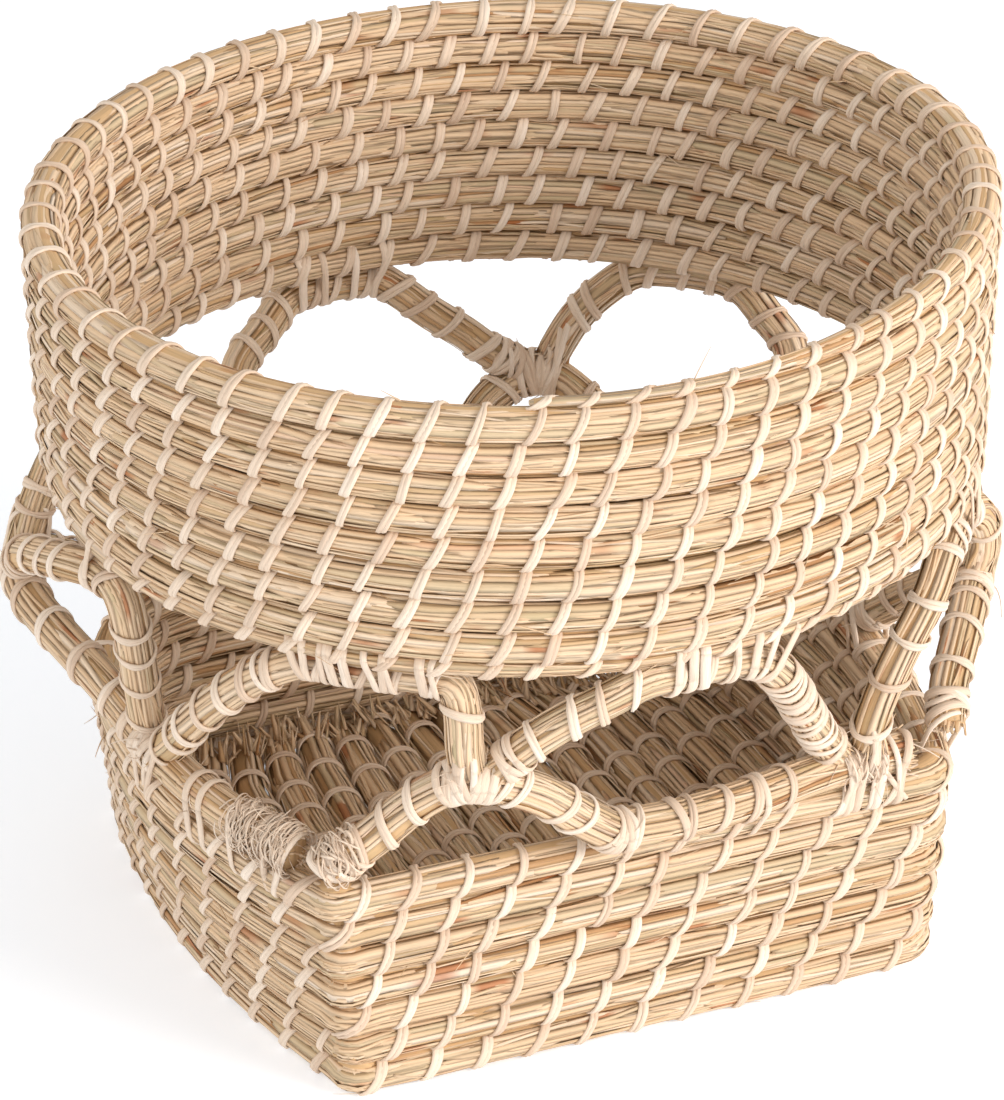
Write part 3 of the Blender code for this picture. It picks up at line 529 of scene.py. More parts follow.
def grass_material(name, stops, depth=1.0):
    material, tree, shader = new_material(name)
    shade, along, own, place = strand_space(tree, 26.0, 310.0)
    base = add(tree, "ShaderNodeValToRGB", [("Fac", shade)])
    set_ramp(base, stops)
    ribs = add(tree, "ShaderNodeTexNoise", [("Vector", place), ("Scale", 2.3), ("Detail", 3.0)]).outputs["Fac"]
    # The rib noise paints the colour darker in the grooves, partly the stalk's own dark lines and partly painted shade,
    # and lighter on the ridges as a painted highlight.
    dark_lines_and_groove_shade = remap(tree, ribs, 0.35, 0.50, 1 - 0.12 * depth, 1.0)
    lights = remap(tree, ribs, 0.50, 0.70, 1.0, 1 + 0.05 * depth)
    colour = tinted(tree, 1.0, base.outputs["Color"], dark_lines_and_groove_shade, "MULTIPLY")
    colour = tinted(tree, 1.0, colour, lights, "MULTIPLY")
    stain_place = add(tree, "ShaderNodeCombineXYZ", [("Y", along), ("Z", own)]).outputs[0]
    stain = add(tree, "ShaderNodeTexNoise", [("Vector", stain_place), ("Scale", 30.0), ("Detail", 1.0)])
    rust = remap(tree, stain.outputs["Fac"], 0.66, 0.74, 0.0, 0.75)
    colour = tinted(tree, rust, colour, linear("#a9602f"))
    green = remap(tree, stain.outputs["Fac"], 0.36, 0.24, 0.0, 0.45)
    colour = tinted(tree, green, colour, linear("#b4a880"))
    tree.links.new(colour, shader.inputs["Base Color"])
    bump = add(tree, "ShaderNodeBump", [("Height", ribs), ("Strength", 0.5), ("Distance", 0.18 * MM)])
    tree.links.new(bump.outputs[0], shader.inputs["Normal"])
    shader.inputs["Roughness"].default_value = 0.68
    shader.inputs["Specular IOR Level"].default_value = 0.25
    return material


stalk = grass_material("dried_grass_stalks", STALK_STOPS)
pith = grass_material("packed_grass_core", ((0.0, "#c8a579"), (1.0, "#d6b48a")))
root = grass_material("dark_grass_roots", ((0.0, "#5a3320"), (0.5, "#8a5230"), (1.0, "#b98455")))

# %% [markdown]
# The strips that sew the courses are split from a soft pale leaf. They are matt, cream with a touch of
# pink, and made of several fine fibres side by side, which catch the light as thin lines.


# %% Wrapping strip
def strip_material(name):
    material, tree, shader = new_material(name)
    shade, along, own, place = strand_space(tree, 45.0, 270.0)
    base = add(tree, "ShaderNodeValToRGB", [("Fac", shade)])
    set_ramp(base, ((0.0, "#d6bda6"), (0.3, "#e0cab4"), (0.75, "#e8d5c1"), (1.0, "#efdfce")))
    fibres = add(tree, "ShaderNodeTexNoise", [("Vector", place), ("Scale", 3.8), ("Detail", 2.0)]).outputs["Fac"]
    tone = remap(tree, fibres, 0.34, 0.58, 0.86, 1.02)
    colour = tinted(tree, 1.0, base.outputs["Color"], tone, "MULTIPLY")
    tree.links.new(colour, shader.inputs["Base Color"])
    bump = add(tree, "ShaderNodeBump", [("Height", fibres), ("Strength", 0.6), ("Distance", 0.2 * MM)])
    tree.links.new(bump.outputs[0], shader.inputs["Normal"])
    shader.inputs["Roughness"].default_value = 0.8
    return material


strip = strip_material("split_leaf_strip")

# %% [markdown]
# ## Stalks on the coils
# A bundle shows only its outer stalks, so they are laid in lanes round the rope, end to end and a
# little over one another: first a bed of broad flat blades, then thinner straws over it. Each drifts
# slightly, differs in width and sinks in at its ends, as stalks do when new ones are fed in.


# %% Laying stalks
def lay_stalks(rope, lanes, seed, lengths, widths, rings, wander=0.09, lift=0.0, thickness=0.21 * MM,
               first=0.0, last=None, kept=1.0, end_dip=0.5 * MM, taper=0.5):
    """Stalks along a rope in lanes, which are angles round it in radians."""
    rng = np.random.RandomState(seed)
    last = rope.length if last is None else last
    starts, ends, turns = [], [], []
    for lane in lanes:
        count = int((last - first) / np.mean(lengths) * 1.5) + 3
        cuts = first - rng.uniform(0, lengths[1]) + np.cumsum(rng.uniform(*lengths, count))
        begin = np.maximum(cuts[:-1], first + np.abs(rng.normal(0, 2 * MM, count - 1)))
        end = np.minimum(cuts[1:] + rng.uniform(4, 14, count - 1) * MM,
                         last - np.abs(rng.normal(0, 2 * MM, count - 1)))
        keep = (end - begin > 8 * MM) & (rng.uniform(0, 1, count - 1) < kept)
        starts.append(begin[keep])
        ends.append(end[keep])
        turns.append(np.full(keep.sum(), lane))
    start, end, turn = map(np.concatenate, (starts, ends, turns))
    count = len(start)
    s = rope.spread(start, end - start, rings)
    share = np.linspace(0, 1, rings)[None, :]
    drift = rng.normal(0, wander, count)[:, None] * (share - 0.5) * 2
    wave = rng.normal(0, wander * 0.4, count)[:, None] * np.sin(share * rng.uniform(3, 9, count)[:, None])
    turn = (turn + rng.normal(0, 0.035, count))[:, None] + drift + wave
    sink = np.clip(1 - np.minimum(share, 1 - share) * rings, 0, 1)
    raise_by = lift + rng.normal(0, 0.11 * MM, count)[:, None] - sink * end_dip
    half_width = rng.uniform(0, 1, count)[:, None] ** 1.4 * (widths[1] - widths[0]) + widths[0]
    swell = 1 + rng.normal(0, 0.10, count)[:, None] * np.sin(share * 5 + rng.uniform(0, 6, count)[:, None])
    half_thick = (thickness * rng.uniform(0.7, 1.3, count))[:, None] * (1 - 0.4 * sink)
    places, outward = rope.surface(s, turn, raise_by)
    tilt = rng.normal(0, 0.16, count)[:, None, None]
    outward = unit(outward + np.cross(outward, unit(np.gradient(places, axis=1))) * tilt)
    return dict(places=places, outward=outward, half_width=half_width * swell * (1 - taper * sink),
                half_thickness=half_thick * np.ones((1, rings)), shades=rng.beta(2.6, 2.2, count))


def two_layers(rope, from_turn, to_turn, seed, rings, lengths=(50 * MM, 130 * MM), **options):
    """A bed of broad blades and narrower ones over it, between two angles round the rope in degrees."""
    reach = abs(to_turn - from_turn)
    bed = np.radians(np.linspace(from_turn, to_turn, max(2, round(reach / 16))))
    top = np.radians(np.linspace(from_turn, to_turn, max(2, round(reach / 18))))
    return [lay_stalks(rope, bed, seed, lengths, (0.95 * MM, 1.9 * MM), rings, wander=0.10, lift=-0.42 * MM,
                       **options),
            lay_stalks(rope, top, seed + 500, (30 * MM, 90 * MM), (0.5 * MM, 1.3 * MM), rings,
                       wander=0.24, lift=-0.24 * MM, thickness=0.17 * MM, kept=0.5, end_dip=0.15 * MM,
                       taper=0.85, **options)]


def merge_sets(sets):
    return {key: np.concatenate([one[key] for one in sets]) for key in sets[0]}


def make_stalks(name, sets, sides=5, material=None):
    return lay_strands(name, material=material or stalk, slot="dried_grass", sides=sides, **merge_sets(sets))


def rope_core(rope, scale=0.90, spacing=4 * MM, sides=12, inset=2 * MM):
    """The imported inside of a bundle, as one thick strand."""
    rings = max(4, int(rope.effort[-1] / spacing))
    s = rope.spread(np.array([inset]), np.array([rope.length - 2 * inset]), rings)
    width = np.interp(s, rope.s, rope.width) * scale
    height = np.interp(s, rope.s, rope.height) * scale
    return dict(places=rope.read(rope.line, s), outward=rope.read(rope.top, s), half_width=height,
                half_thickness=width, shades=np.array([0.5]))


# %% Collar and base walls
half_turn = 0.5 * math.pi
RIM_TURN_LENGTH = 2 * math.pi * RIM_RADIUS_X
collar_outside = two_layers(collar_rope, -80, 80, 11, 11)
collar_outside += two_layers(collar_rope, 84, 96, 13, 11, last=1.3 * RIM_TURN_LENGTH)
collar_outside += two_layers(collar_rope, -96, -84, 14, 11, first=collar_rope.length - 1.3 * RIM_TURN_LENGTH)
collar_inside = two_layers(collar_rope, 100, 260, 12, 11)
outside = make_stalks("collar_stalks_outside", collar_outside, sides=4)
inside = make_stalks("collar_stalks_inside", collar_inside, sides=4)
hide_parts("collar_coil")
lay_strands("collar_core", material=pith, slot="dried_grass", sides=12, **rope_core(collar_rope, 0.91))

base_outside = two_layers(base_rope, -80, 80, 21, 14)
base_outside += two_layers(base_rope, 84, 96, 23, 14, first=base_rope.length - 1.0)
base_outside += two_layers(base_rope, -96, -84, 24, 14, last=1.0)
base_inside = two_layers(base_rope, 100, 260, 22, 14)
outside = make_stalks("base_stalks_outside", base_outside, sides=4)
inside = make_stalks("base_stalks_inside", base_inside, sides=4)
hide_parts("base_coil")
lay_strands("base_core", material=pith, slot="dried_grass", sides=12, **rope_core(base_rope, 0.91))

# %% [markdown]
# ## Stitches
# Each stitch starts outside in the groove under its course, leans up over it, dips through the coil and
# comes down inside. Laid at an even step a little off a whole number to the turn, the stitches of one
# course stand a few millimetres to the side of those below, which makes the slanting columns.


# %% Laying stitches
def lay_stitches(rope, centres, seed, lean, half_width, thickness=0.62 * MM, start=-96, end=264, rings=22,
                 lift=0.42 * MM, parts=2, lean_inside=None):
    """Strips round a rope at distances along it; lean is how far each moves along the rope outside."""
    rng = np.random.RandomState(seed)
    count = len(centres)
    share = np.linspace(0, 1, rings)[None, :]
    turn = np.radians(start + (end - start) * share) * np.ones((count, 1))
    centres = centres + rng.normal(0, 0.9 * MM, count)
    leans = lean * rng.normal(1, 0.14, count)
    inside = leans if lean_inside is None else lean_inside * rng.normal(1, 0.14, count)
    outer_move = leans[:, None] / 2 * np.sin(np.clip(turn, -half_turn, half_turn))
    inner_move = inside[:, None] / 2 * (1 - np.sin(np.clip(turn, half_turn, 3 * half_turn)))
    bend = rng.normal(0, 0.4 * MM, count)[:, None] * np.sin(share * 9 + rng.uniform(0, 6, count)[:, None])
    width = half_width * rng.uniform(0.82, 1.18, count)[:, None]
    tone = rng.uniform(0, 1, count)
    groove = 0.6 + 0.4 * np.clip(np.abs(np.cos(turn)) * 1.8, 0, 1)
    sets = []
    for part in range(parts):
        aside = (part - (parts - 1) / 2) * 2 * width / parts * 0.74 * groove
        shift = aside + rng.normal(0, 0.12 * MM, (count, 1)) * np.sin(share * 7 + part)
        s = np.clip(centres[:, None] + outer_move + inner_move + bend + shift, 0, rope.length)
        up = lift + rng.normal(0, 0.10 * MM, count)[:, None]
        places, outward = rope.surface(s, turn, up * np.ones_like(s))
        sets.append(dict(places=places, outward=outward, half_width=width / parts * 1.24 * groove,
                         half_thickness=thickness * rng.uniform(0.85, 1.15, (count, 1)) * np.ones((1, rings)),
                         shades=np.clip(tone + rng.normal(0, 0.12, count), 0, 1)))
    return merge_sets(sets)


def make_strips(name, sets, sides=6):
    return lay_strands(name, material=strip, slot="wrapping_strip", sides=sides, **merge_sets(sets))


COLLAR_STITCHES = 60
COLLAR_LEAN = 5.6 * MM
collar_step = (360 - 1.38) / COLLAR_STITCHES / 360
collar_marks = np.arange(COLLAR_TURNS - 0.004, COLLAR_START_TURN, -collar_step)
collar_places = np.interp(-collar_marks, -collar_turns, collar_rope.marks)
half = len(collar_places) // 2
for name, places in (("collar_stitches_high", collar_places[:half]), ("collar_stitches_low", collar_places[half:])):
    make_strips(name, [lay_stitches(collar_rope, places, 31, COLLAR_LEAN, 1.95 * MM)])

BASE_STITCHES = 45
BASE_LEAN = 7.2 * MM
base_step = (1 + 6.2 / 980) / BASE_STITCHES
base_marks = np.arange(0.004, base_turns[-1], base_step)
base_places = np.interp(base_marks, base_turns, base_rope.marks)
make_strips("base_stitches", [lay_stitches(base_rope, base_places, 32, BASE_LEAN, 1.95 * MM)])

# %% [markdown]
# ## The openwork
# The arches are the same rope bent free, so their stalks run straight along them. They are bound by
# rings of flat strip a finger's width apart.


# %% Openwork stalks
open_ropes = list(wave_ropes.items()) + list(arch_ropes.items())
open_sets = []
for number, (name, rope) in enumerate(open_ropes):
    bed = np.radians(np.arange(0, 360, 14.5))
    top = np.radians(np.arange(8, 360, 20))
    open_sets.append(merge_sets([
        lay_stalks(rope, bed, 40 + number, (70 * MM, 170 * MM), (0.9 * MM, 1.8 * MM), 20, wander=0.08,
                   lift=-0.45 * MM),
        lay_stalks(rope, top, 60 + number, (40 * MM, 120 * MM), (0.5 * MM, 1.2 * MM), 20, wander=0.2,
                   lift=-0.20 * MM, thickness=0.19 * MM, kept=0.6, end_dip=0.1 * MM, taper=0.85)]))
waves_piece = make_stalks("wave_stalks", open_sets[:4], sides=4)
arches_piece = make_stalks("arch_stalks", open_sets[4:], sides=4)
for side in SIDES:
    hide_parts("wave_rope_" + side)
for name in ARCHES:
    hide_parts("arch_rope_" + name)
for name, rope in open_ropes:
    lay_strands("core_" + name, material=pith, slot="dried_grass", sides=10, **rope_core(rope))


# %% Rings of strip
def lay_rings(rope, seed, spacing, bare_end):
    rng = np.random.RandomState(seed)
    centres = np.arange(11 * MM, rope.length - bare_end, spacing) + rng.normal(0, 1.2 * MM)
    centres = centres + rng.normal(0, 1.6 * MM, len(centres))
    lean = rng.choice((-1, 1)) * 5 * MM
    return lay_stitches(rope, centres, seed + 7, lean, 1.8 * MM, start=-120, end=244, rings=28,
                        lift=0.36 * MM, lean_inside=-lean)


RING_SPACINGS = {"front_corner": 17 * MM, "left_corner": 14.5 * MM, "left_long": 14.5 * MM,
                 "front": 14.5 * MM, "left": 16 * MM}
BARE_ENDS = {"left": 92 * MM, "front": 40 * MM, "front_long": 66 * MM}
ring_sets = [lay_rings(rope, 70 + number, RING_SPACINGS.get(name, 12.5 * MM), BARE_ENDS.get(name, 11 * MM))
             for number, (name, rope) in enumerate(open_ropes)]
make_strips("openwork_rings", ring_sets, sides=5)

# %% [markdown]
# ## Bands round several ropes
# At a joint a strip runs round every rope that meets there, as tight as a drawn thread. For each band a
# plane is laid across the joint: where the ropes pass through it they leave circles, and the band is the
# tight line round those circles.


# %% Bands and lashings
def tight_loop(origin, normal, ropes, reach, rings, keep_out):
    """A closed line round the ropes that cross a plane near a point, with its outward directions."""
    normal = unit(np.array(normal))
    first = unit(np.cross(normal, (0.0, 0.0, 1.0) if abs(normal[2]) < 0.9 else (1.0, 0.0, 0.0)))
    second = np.cross(normal, first)
    centres, radii = [], []
    for rope in ropes:
        away = (rope.line - origin) @ normal
        for index in np.flatnonzero(away[:-1] * away[1:] <= 0):
            place = rope.line[index]
            if np.linalg.norm(place - origin) < reach:
                centres.append(((place - origin) @ first, (place - origin) @ second))
                radii.append((rope.width[index] + rope.height[index]) / 2)
    if not centres:
        centres, radii = [(0.0, 0.0)], [OPEN_ROPE_RADIUS]
    turn = np.linspace(0, 2 * math.pi, 181)
    toward = np.stack((np.cos(turn), np.sin(turn)), axis=1)
    support = np.max(toward @ np.array(centres).T + np.array(radii), axis=1) + keep_out
    slope = np.gradient(support, turn)
    flat = toward * support[:, None] + np.stack((-np.sin(turn), np.cos(turn)), axis=1) * slope[:, None]
    walk = np.concatenate(([0], np.cumsum(np.linalg.norm(np.diff(flat, axis=0), axis=1))))
    wanted = np.linspace(0, walk[-1] * 1.01, rings) % walk[-1]
    x, y = (np.interp(wanted, walk, flat[:, axis]) for axis in (0, 1))
    tx, ty = (np.interp(wanted, walk, toward[:, axis]) for axis in (0, 1))
    line = origin + x[:, None] * first + y[:, None] * second
    return line, unit(tx[:, None] * first + ty[:, None] * second)


def lay_bands(spots, ropes, seed, half_width=1.6 * MM, reach=24 * MM, rings=30, keep_out=0.45 * MM,
              thickness=0.60 * MM, rough=0.25 * MM):
    """Bands at spots, which are (origin, normal)."""
    rng = np.random.RandomState(seed)
    lines, outs = [], []
    for origin, normal in spots:
        line, outward = tight_loop(np.array(origin), normal, ropes, reach, rings, keep_out)
        along = np.cross(outward, np.gradient(line, axis=0))
        wobble = np.sin(np.linspace(0, 2 * math.pi, rings) * rng.randint(1, 4) + rng.uniform(0, 6))
        line = line + unit(along) * (wobble * rng.normal(0, rough * 2))[:, None] + outward * rng.uniform(0, rough)
        lines.append(line)
        outs.append(outward)
    count = len(spots)
    width = half_width * rng.uniform(0.65, 1.25, (count, 1)) * np.ones((1, rings))
    return dict(places=np.array(lines), outward=np.array(outs), half_width=width,
                half_thickness=thickness * np.ones((count, rings)), shades=rng.uniform(0.15, 1, count))


def nearest_place(rope, angle):
    plan = rope.line - RIM_MIDDLE
    turn = np.degrees(np.arctan2(plan[:, 1], plan[:, 0]))
    return int(np.argmin(np.abs((turn - angle + 180) % 360 - 180)))


def spots_along(rope, s_values, seed, jitter=0.12):
    rng = np.random.RandomState(seed)
    centres, along = rope.read(rope.line, s_values), rope.read(rope.tangent, s_values)
    return [(c, t + rng.normal(0, jitter, 3)) for c, t in zip(centres, along)]


def joint_ropes(side):
    index = SIDES.index(side)
    after, before = SIDES[(index + 1) % 4], SIDES[index - 1]
    return [wave_ropes[side], wave_ropes[after], wave_ropes[before], arch_ropes[side + "_long"],
            arch_ropes[side + "_corner"], arch_ropes[before + "_corner"]]


top_course = base_rope.last_part(0.99)
low_course = collar_rope.last_part(1.02)

LANDING_BANDS = {"front": 6, "right": 5, "back": 5, "left": 2}
CORNER_BANDS = {"front": 6, "right": 6, "back": 6, "left": 3}
lash_sets = []
for number, side in enumerate(SIDES):
    wave, ropes = wave_ropes[side], joint_ropes(side)
    rng = np.random.RandomState(200 + number)
    peak = wave.s[nearest_place(wave, PEAK_ANGLES[side])]
    spots = spots_along(wave, peak + np.linspace(-7, 7, 13) * MM, 210 + number, 0.22)
    lash_sets.append(lay_bands(spots, ropes, 220 + number, reach=20 * MM))
    arch = arch_ropes[side + "_long"]
    spots = spots_along(arch, np.linspace(9, 16, 4) * MM, 230 + number, 0.2)
    lash_sets.append(lay_bands(spots, [arch], 240 + number, reach=14 * MM))
    foot = wave.s[nearest_place(wave, FOOT_ANGLES[side])]
    spots = spots_along(wave, foot + np.linspace(-4, 4, 5) * MM, 250 + number, 0.25)
    lash_sets.append(lay_bands(spots, ropes, 260 + number, reach=17 * MM))
    spots = spots_along(wave, foot + np.linspace(-6, 6, 4) * MM, 255 + number, 0.2)
    lash_sets.append(lay_bands(spots, ropes + [top_course], 265 + number, reach=19 * MM))
    landing = wave.s[nearest_place(wave, LANDING_ANGLES[side])]
    spots = spots_along(wave, landing + np.linspace(-4, 4, LANDING_BANDS[side]) * MM, 270 + number, 0.15)
    lash_sets.append(lay_bands(spots, [wave, top_course], 280 + number, reach=17 * MM))
    spots = spots_along(wave, wave.length - np.linspace(2, 26, CORNER_BANDS[side]) * MM, 290 + number, 0.25)
    after = wave_ropes[SIDES[(SIDES.index(side) + 1) % 4]]
    spots += spots_along(after, np.linspace(1, 12, 4) * MM, 300 + number, 0.3)
    lash_sets.append(lay_bands(spots, [wave, after, top_course], 310 + number, reach=20 * MM))
    if side == "front":
        leg = np.arange(arch.s[nearest_place(arch, -76)], arch.length - 4 * MM, 5.6 * MM)
        lash_sets.append(lay_bands(spots_along(arch, leg, 315, 0.16), [arch], 316, half_width=1.7 * MM))
    resting = np.arange(landing + 22 * MM, wave.length - 30 * MM, 34 * MM)
    resting = resting[np.abs(resting - foot) > 14 * MM]
    if len(resting):
        lash_sets.append(lay_bands(spots_along(wave, resting, 320 + number, 0.18), [wave, top_course],
                                   330 + number, half_width=1.7 * MM, reach=17 * MM))
lashings = make_strips("joint_lashings", lash_sets)
for side in SIDES:
    for kind in ("peak", "foot", "landing", "corner"):
        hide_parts("lashing_%s_%s" % (kind, side))

HANGER_ANGLES = {"left_corner": (216, 221, 222, 224.3, 225.2, 226.1, 227, 227.9, 231, 232.2, 233.6, 237.6, 239.6),
                 "front_long": (-92.3, -90, -87.8, -84.2, -81.5, -80.2, -79)}
collar_bands = []
for number, (name, rope) in enumerate(arch_ropes.items()):
    plan = np.hypot(*(rope.line - RIM_MIDDLE).T[:2])
    touching = rope.s[(rope.line[:, 2] > COLLAR_BOTTOM - 8.2 * MM) & (plan < COLLAR_BOTTOM_RADIUS + 8 * MM)]
    if len(touching):
        places = np.arange(touching[0] + 3 * MM, touching[-1], 11 * MM)
        if name in HANGER_ANGLES:
            places = rope.s[[nearest_place(rope, angle) for angle in HANGER_ANGLES[name]]]
        spots = spots_along(rope, places, 340 + number, 0.06)
        collar_bands.append(lay_bands(spots, [rope, low_course], 350 + number, half_width=1.8 * MM,
                                      reach=17 * MM))
make_strips("collar_hangers", collar_bands)

# %% [markdown]
# ## The floor
# The floor is straight bundles side by side, tied with strips that loop over each bundle in rows, like
# scales. At the back wall their cut ends turn up and fray.

# %% Floor bundles
floor_ropes = []
for number in range(1, FLOOR_BUNDLES + 1):
    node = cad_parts["floor_bundle_%02d" % number]
    corners = np.empty(len(node.data.vertices) * 3, np.float32)
    node.data.vertices.foreach_get("co", corners)
    corners = corners.reshape(-1, 3).astype(float)
    ys = np.linspace(corners[:, 1].min(), corners[:, 1].max(), 40)
    stations = np.unique(np.round(corners[:, 1] / (6 * MM))) * 6 * MM
    groups = [corners[np.abs(corners[:, 1] - y) < 6 * MM] for y in stations]
    stations = np.array([y for y, group in zip(stations, groups) if len(group)])
    groups = [group for group in groups if len(group)]
    xs = np.interp(ys, stations, [group[:, 0].mean() for group in groups])
    half = np.interp(ys, stations, [np.ptp(group[:, 0]) / 2 for group in groups])
    line = np.stack((xs, ys, np.full(40, 6.4 * MM)), axis=1) - RIM_MIDDLE
    floor_ropes.append(Rope(line[::-1], half[::-1], 6.4 * MM, 2.3, upright=True))
floor_sets, arc_sets, tuft_sets = [], [], []
for number, rope in enumerate(floor_ropes):
    rng = np.random.RandomState(400 + number)
    floor_sets += two_layers(rope, 0, 345, 120 + number, 9)
    centres = np.arange(rng.uniform(8, 14) * MM + 11 * MM * (number % 2), rope.length - 5 * MM, 22 * MM)
    centres = centres + rng.normal(0, 1.5 * MM, len(centres))
    turn = np.radians(np.linspace(-24, 204, 16))[None, :] * np.ones((len(centres), 1))
    bow = -4.5 * MM * np.sin(np.clip(turn, 0, math.pi))
    for part in (-1, 1):
        s = np.clip(centres[:, None] + bow + part * 0.8 * MM, 0, rope.length)
        places, outward = rope.surface(s, turn, np.full(s.shape, 0.30 * MM))
        arc_sets.append(dict(places=places, outward=outward, half_width=np.full(s.shape, 1.15 * MM),
                             half_thickness=np.full(s.shape, 0.5 * MM), shades=rng.uniform(0, 0.7, len(s))))
floor_piece = make_stalks("floor_stalks", floor_sets, sides=4)
for number in range(1, FLOOR_BUNDLES + 1):
    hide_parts("floor_bundle_%02d" % number)
cores = [rope_core(rope, 0.84, spacing=30 * MM) for rope in floor_ropes]
for number, core in enumerate(cores):
    lay_strands("floor_core_%02d" % (number + 1), material=pith, slot="dried_grass", sides=8, **core)
make_strips("floor_arcs", arc_sets)


# %% Frayed ends
def lay_fibres(start, direction, seed, lengths, half_width, curl=0.6, rings=8, thickness=0.16 * MM):
    """Loose fibres from start points in given directions, each bending its own way."""
    rng = np.random.RandomState(seed)
    count = len(start)
    along = unit(direction + rng.normal(0, 0.25, (count, 3)))
    aside = unit(np.cross(along, rng.normal(0, 1, (count, 3))))
    length = rng.uniform(*lengths, count)[:, None, None]
    share = np.linspace(0, 1, rings)[None, :, None]
    bend = rng.normal(0, curl, count)[:, None, None]
    twist = np.cross(along, aside)[:, None, :] * rng.normal(0, curl * 0.5, count)[:, None, None]
    places = (start[:, None, :] + along[:, None, :] * length * share
              + (aside[:, None, :] * bend + twist) * length * share ** 2 * 0.6)
    places[..., 2] = np.maximum(places[..., 2], 0.6 * MM)
    taper = (1 - 0.6 * share[..., 0]) * np.ones((count, 1))
    return dict(places=places, outward=np.cross(aside, along)[:, None, :] * np.ones((1, rings, 1)),
                half_width=half_width * rng.uniform(0.6, 1.3, (count, 1)) * taper,
                half_thickness=thickness * taper, shades=rng.beta(2, 2, count))


tuft_sets = []
for number, rope in enumerate(floor_ropes):
    rng = np.random.RandomState(430 + number)
    count = 18
    s, turn = rng.uniform(3, 13, count) * MM, np.radians(rng.uniform(15, 165, count))
    places, outward = rope.surface(s, turn, np.full(count, -0.3 * MM))
    direction = outward * 0.4 - rope.read(rope.tangent, s) * 0.9 + np.array((0.0, 0.0, 0.3))
    direction = direction + rng.normal(0, 0.22, (count, 3))
    tuft_sets.append(lay_fibres(places, direction, 460 + number, (6 * MM, 12 * MM), 1.3 * MM, 0.05, rings=4,
                                thickness=0.35 * MM))
make_stalks("floor_tufts", tuft_sets, sides=4)

end_sets = []
for number, (name, rope) in enumerate(open_ropes):
    for way, index in ((-1, 3), (1, -4)):
        rng = np.random.RandomState(700 + 2 * number + (index > 0))
        count = 34
        outward = unit(rng.normal(0, 1, (count, 3)))
        forward = rope.tangent[index] * way
        outward = outward - (outward @ forward)[:, None] * forward
        starts = rope.line[index] + outward * OPEN_ROPE_RADIUS * 0.8 - forward * 3 * MM
        end_sets.append(lay_fibres(starts, forward + outward * 0.12, 740 + 2 * number + (index > 0),
                                   (6 * MM, 11 * MM), 1.1 * MM, 0.08, rings=4, thickness=0.35 * MM))
make_stalks("rope_ends", end_sets, sides=4)


def on_rope(rope, count, seed, first=0.0, last=None, turns=(-70, 70)):
    rng = np.random.RandomState(seed)
    s = rng.uniform(first, rope.length if last is None else last, count)
    turn = np.radians(rng.uniform(*turns, count))
    places, outward = rope.surface(s, turn, np.full(count, -0.1 * MM))
    return places, outward, rope.read(rope.tangent, s)


stray_sets = []
for number, (rope, count, turns) in enumerate(((collar_rope, 150, (-75, 80)), (collar_rope, 150, (100, 255)),
                                               (base_rope, 90, (-75, 80)), (base_rope, 80, (100, 255)))):
    places, outward, along = on_rope(rope, count, 500 + number, turns=turns)
    rng = np.random.RandomState(510 + number)
    sign = rng.choice((-1.0, 1.0), (count, 1))
    stray_sets.append(lay_fibres(places, along * sign + outward * 0.16, 520 + number, (5 * MM, 13 * MM), 0.34 * MM,
                                 0.10))
make_stalks("stray_stalks", stray_sets, sides=4)

fray_sets = []
for number, side in enumerate(SIDES):
    wave = wave_ropes[side]
    for place, count in ((wave.line[nearest_place(wave, PEAK_ANGLES[side])], 22),
                         (wave.line[nearest_place(wave, FOOT_ANGLES[side])] + (0, 0, 5 * MM), 18),
                         (wave.line[-8], 34), (wave.line[nearest_place(wave, LANDING_ANGLES[side])], 10)):
        rng = np.random.RandomState(600 + number * 10 + count)
        outward = unit(rng.normal(0, 1, (count, 3)))
        fray_sets.append(lay_fibres(place + outward * 7.5 * MM, outward + rng.normal(0, 0.9, (count, 3)),
                                    640 + number + count, (4 * MM, 11 * MM), 0.42 * MM, 1.1))


def lay_tangle(rope, middle, spread, count, seed):
    """Loose strip ends that lie over a knot in short curls."""
    rng = np.random.RandomState(seed)
    share = np.linspace(0, 1, 12)[None, :]
    start, sweep = rng.uniform(-1.6, 2.2, (count, 1)), rng.uniform(0.9, 2.4, (count, 1))
    wave = np.sin(share * rng.uniform(1, 4, (count, 1)) + rng.uniform(0, 6, (count, 1)))
    s = middle + rng.normal(0, spread, (count, 1)) + wave * rng.uniform(1, 4, (count, 1)) * MM
    lift = (0.6 + rng.uniform(0.2, 2.6, (count, 1)) * np.sin(share * rng.uniform(2, 5, (count, 1))) ** 2) * MM
    places, outward = rope.surface(np.clip(s, 0, rope.length), start + sweep * share, lift)
    return dict(places=places, outward=outward, half_width=rng.uniform(0.25, 0.75, (count, 1)) * (1 - 0.5 * share) * MM,
                half_thickness=0.22 * MM * np.ones_like(s), shades=rng.beta(2, 2, count))


left_wave, front_wave = wave_ropes["left"], wave_ropes["front"]
tangle_sets = [lay_tangle(left_wave, left_wave.length - 20 * MM, 6 * MM, 90, 800),
               lay_tangle(left_wave, left_wave.length - 4 * MM, 4 * MM, 70, 801),
               lay_tangle(front_wave, 5 * MM, 3 * MM, 60, 802),
               lay_tangle(front_wave, front_wave.length - 18 * MM, 4 * MM, 60, 803)]
lay_strands("knot_tangles", material=strip, slot="wrapping_strip", sides=4, **merge_sets(tangle_sets))
lay_strands("lashing_frays", material=strip, slot="wrapping_strip", sides=4, **merge_sets(fray_sets))

# %% [markdown]
# ## Floor, light and camera
# A white table and a large soft light from the front right, as in a product photograph. The camera
# stands at the photograph's angle, far away, with a long lens.

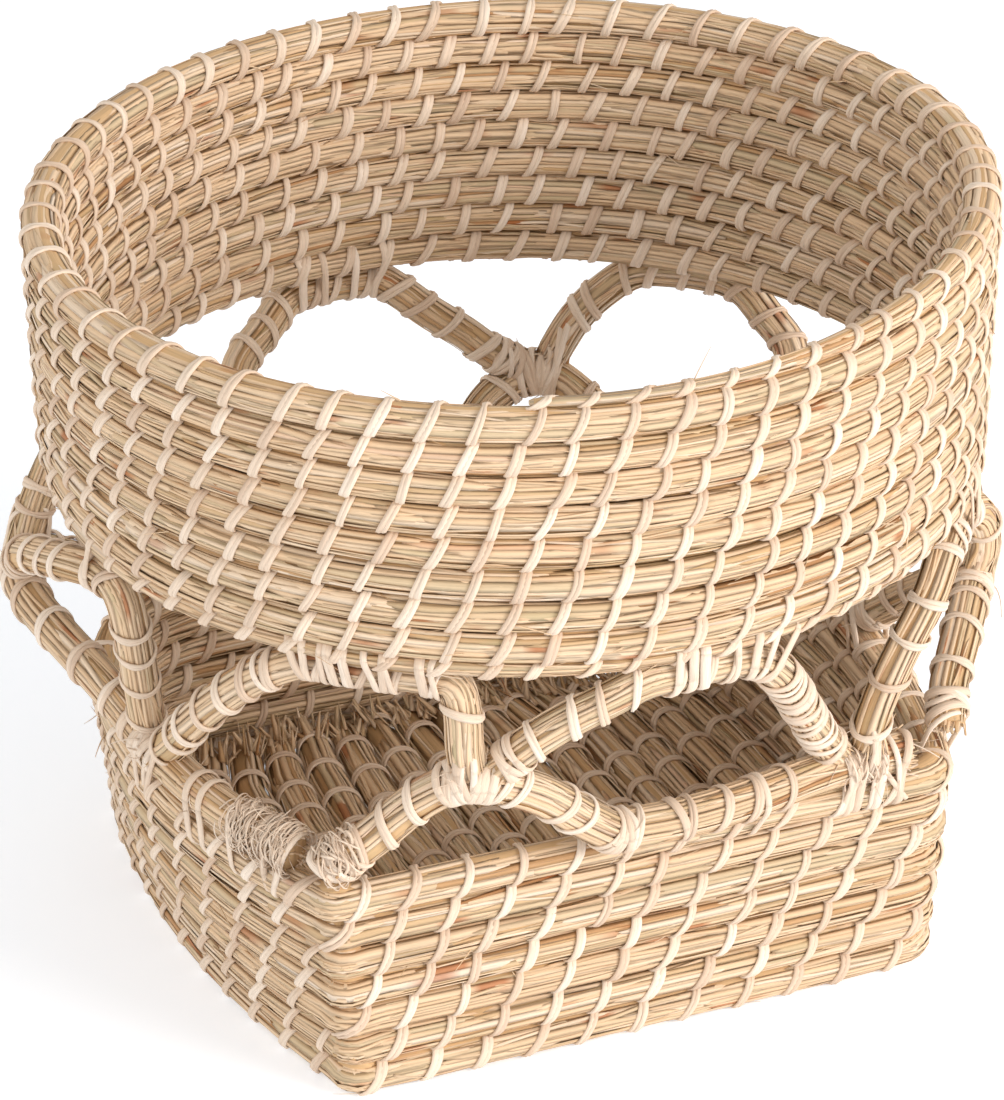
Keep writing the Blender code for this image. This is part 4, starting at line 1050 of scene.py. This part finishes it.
# %% Stage
work = bmesh.new()
bmesh.ops.create_grid(work, x_segments=1, y_segments=1, size=4.0)
ground_mesh = bpy.data.meshes.new("table")
work.to_mesh(ground_mesh)
work.free()
ground = bpy.data.objects.new("table", ground_mesh)
ground.location = (0, 0, -0.0002)
bpy.context.scene.collection.objects.link(ground)
paper, paper_tree, paper_shader = new_material("white_paper")
paper_shader.inputs["Base Color"].default_value = linear("#f1f5fa")
paper_shader.inputs["Roughness"].default_value = 0.9
paper_shader.inputs["Emission Color"].default_value = (0.93, 1.0, 1.10, 1.0)
paper_shader.inputs["Emission Strength"].default_value = 0.32
ground_mesh.materials.append(paper)

world = bpy.data.worlds.new("studio")
bpy.context.scene.world = world
world.use_nodes = True
tree = world.node_tree
sky = add(tree, "ShaderNodeTexCoord").outputs["Generated"]
height = add(tree, "ShaderNodeSeparateXYZ", [("Vector", sky)]).outputs["Z"]
glow = remap(tree, height, 0.0, 1.0, 1.15, 0.45)
background = tree.nodes["Background"]
background.inputs["Color"].default_value = (1.04, 1.0, 0.95, 1.0)
tree.links.new(glow, background.inputs["Strength"])


def aim(thing, place, target):
    """Put a thing at a place with its -Z axis towards a target and its Y axis up."""
    thing.location = place
    direction = Vector(target) - Vector(place)
    thing.rotation_euler = direction.to_track_quat("-Z", "Y").to_euler()


def add_light(name, place, target, size, power, tint="#ffffff"):
    data = bpy.data.lights.new(name, "AREA")
    data.shape = "DISK"
    data.size = size
    data.energy = power
    data.color = linear(tint)[:3]
    light = bpy.data.objects.new(name, data)
    bpy.context.scene.collection.objects.link(light)
    aim(light, place, target)
    return light


add_light("key", (1.5, -2.1, 1.1), (0, 0, 0.1), 1.4, 57.0, "#fff8f2")
add_light("fill", (-1.9, -0.8, 1.2), (0, 0, 0.1), 1.6, 8.0)

camera_data = bpy.data.cameras.new("camera")
camera_data.lens = 36 * 6932 / 1100
camera_data.sensor_width = 36
camera_data.clip_end = 50
camera = bpy.data.objects.new("camera", camera_data)
bpy.context.scene.collection.objects.link(camera)
azimuth, elevation, distance = math.radians(-21.83), math.radians(28.48), 2.5
look_at = (-0.0008, -0.0015, 0.1312)
stand = (look_at[0] + distance * math.sin(azimuth) * math.cos(elevation),
         look_at[1] - distance * math.cos(azimuth) * math.cos(elevation),
         look_at[2] + distance * math.sin(elevation))
aim(camera, stand, look_at)
bpy.context.scene.camera = camera
bpy.context.scene.view_settings.view_transform = "Standard"
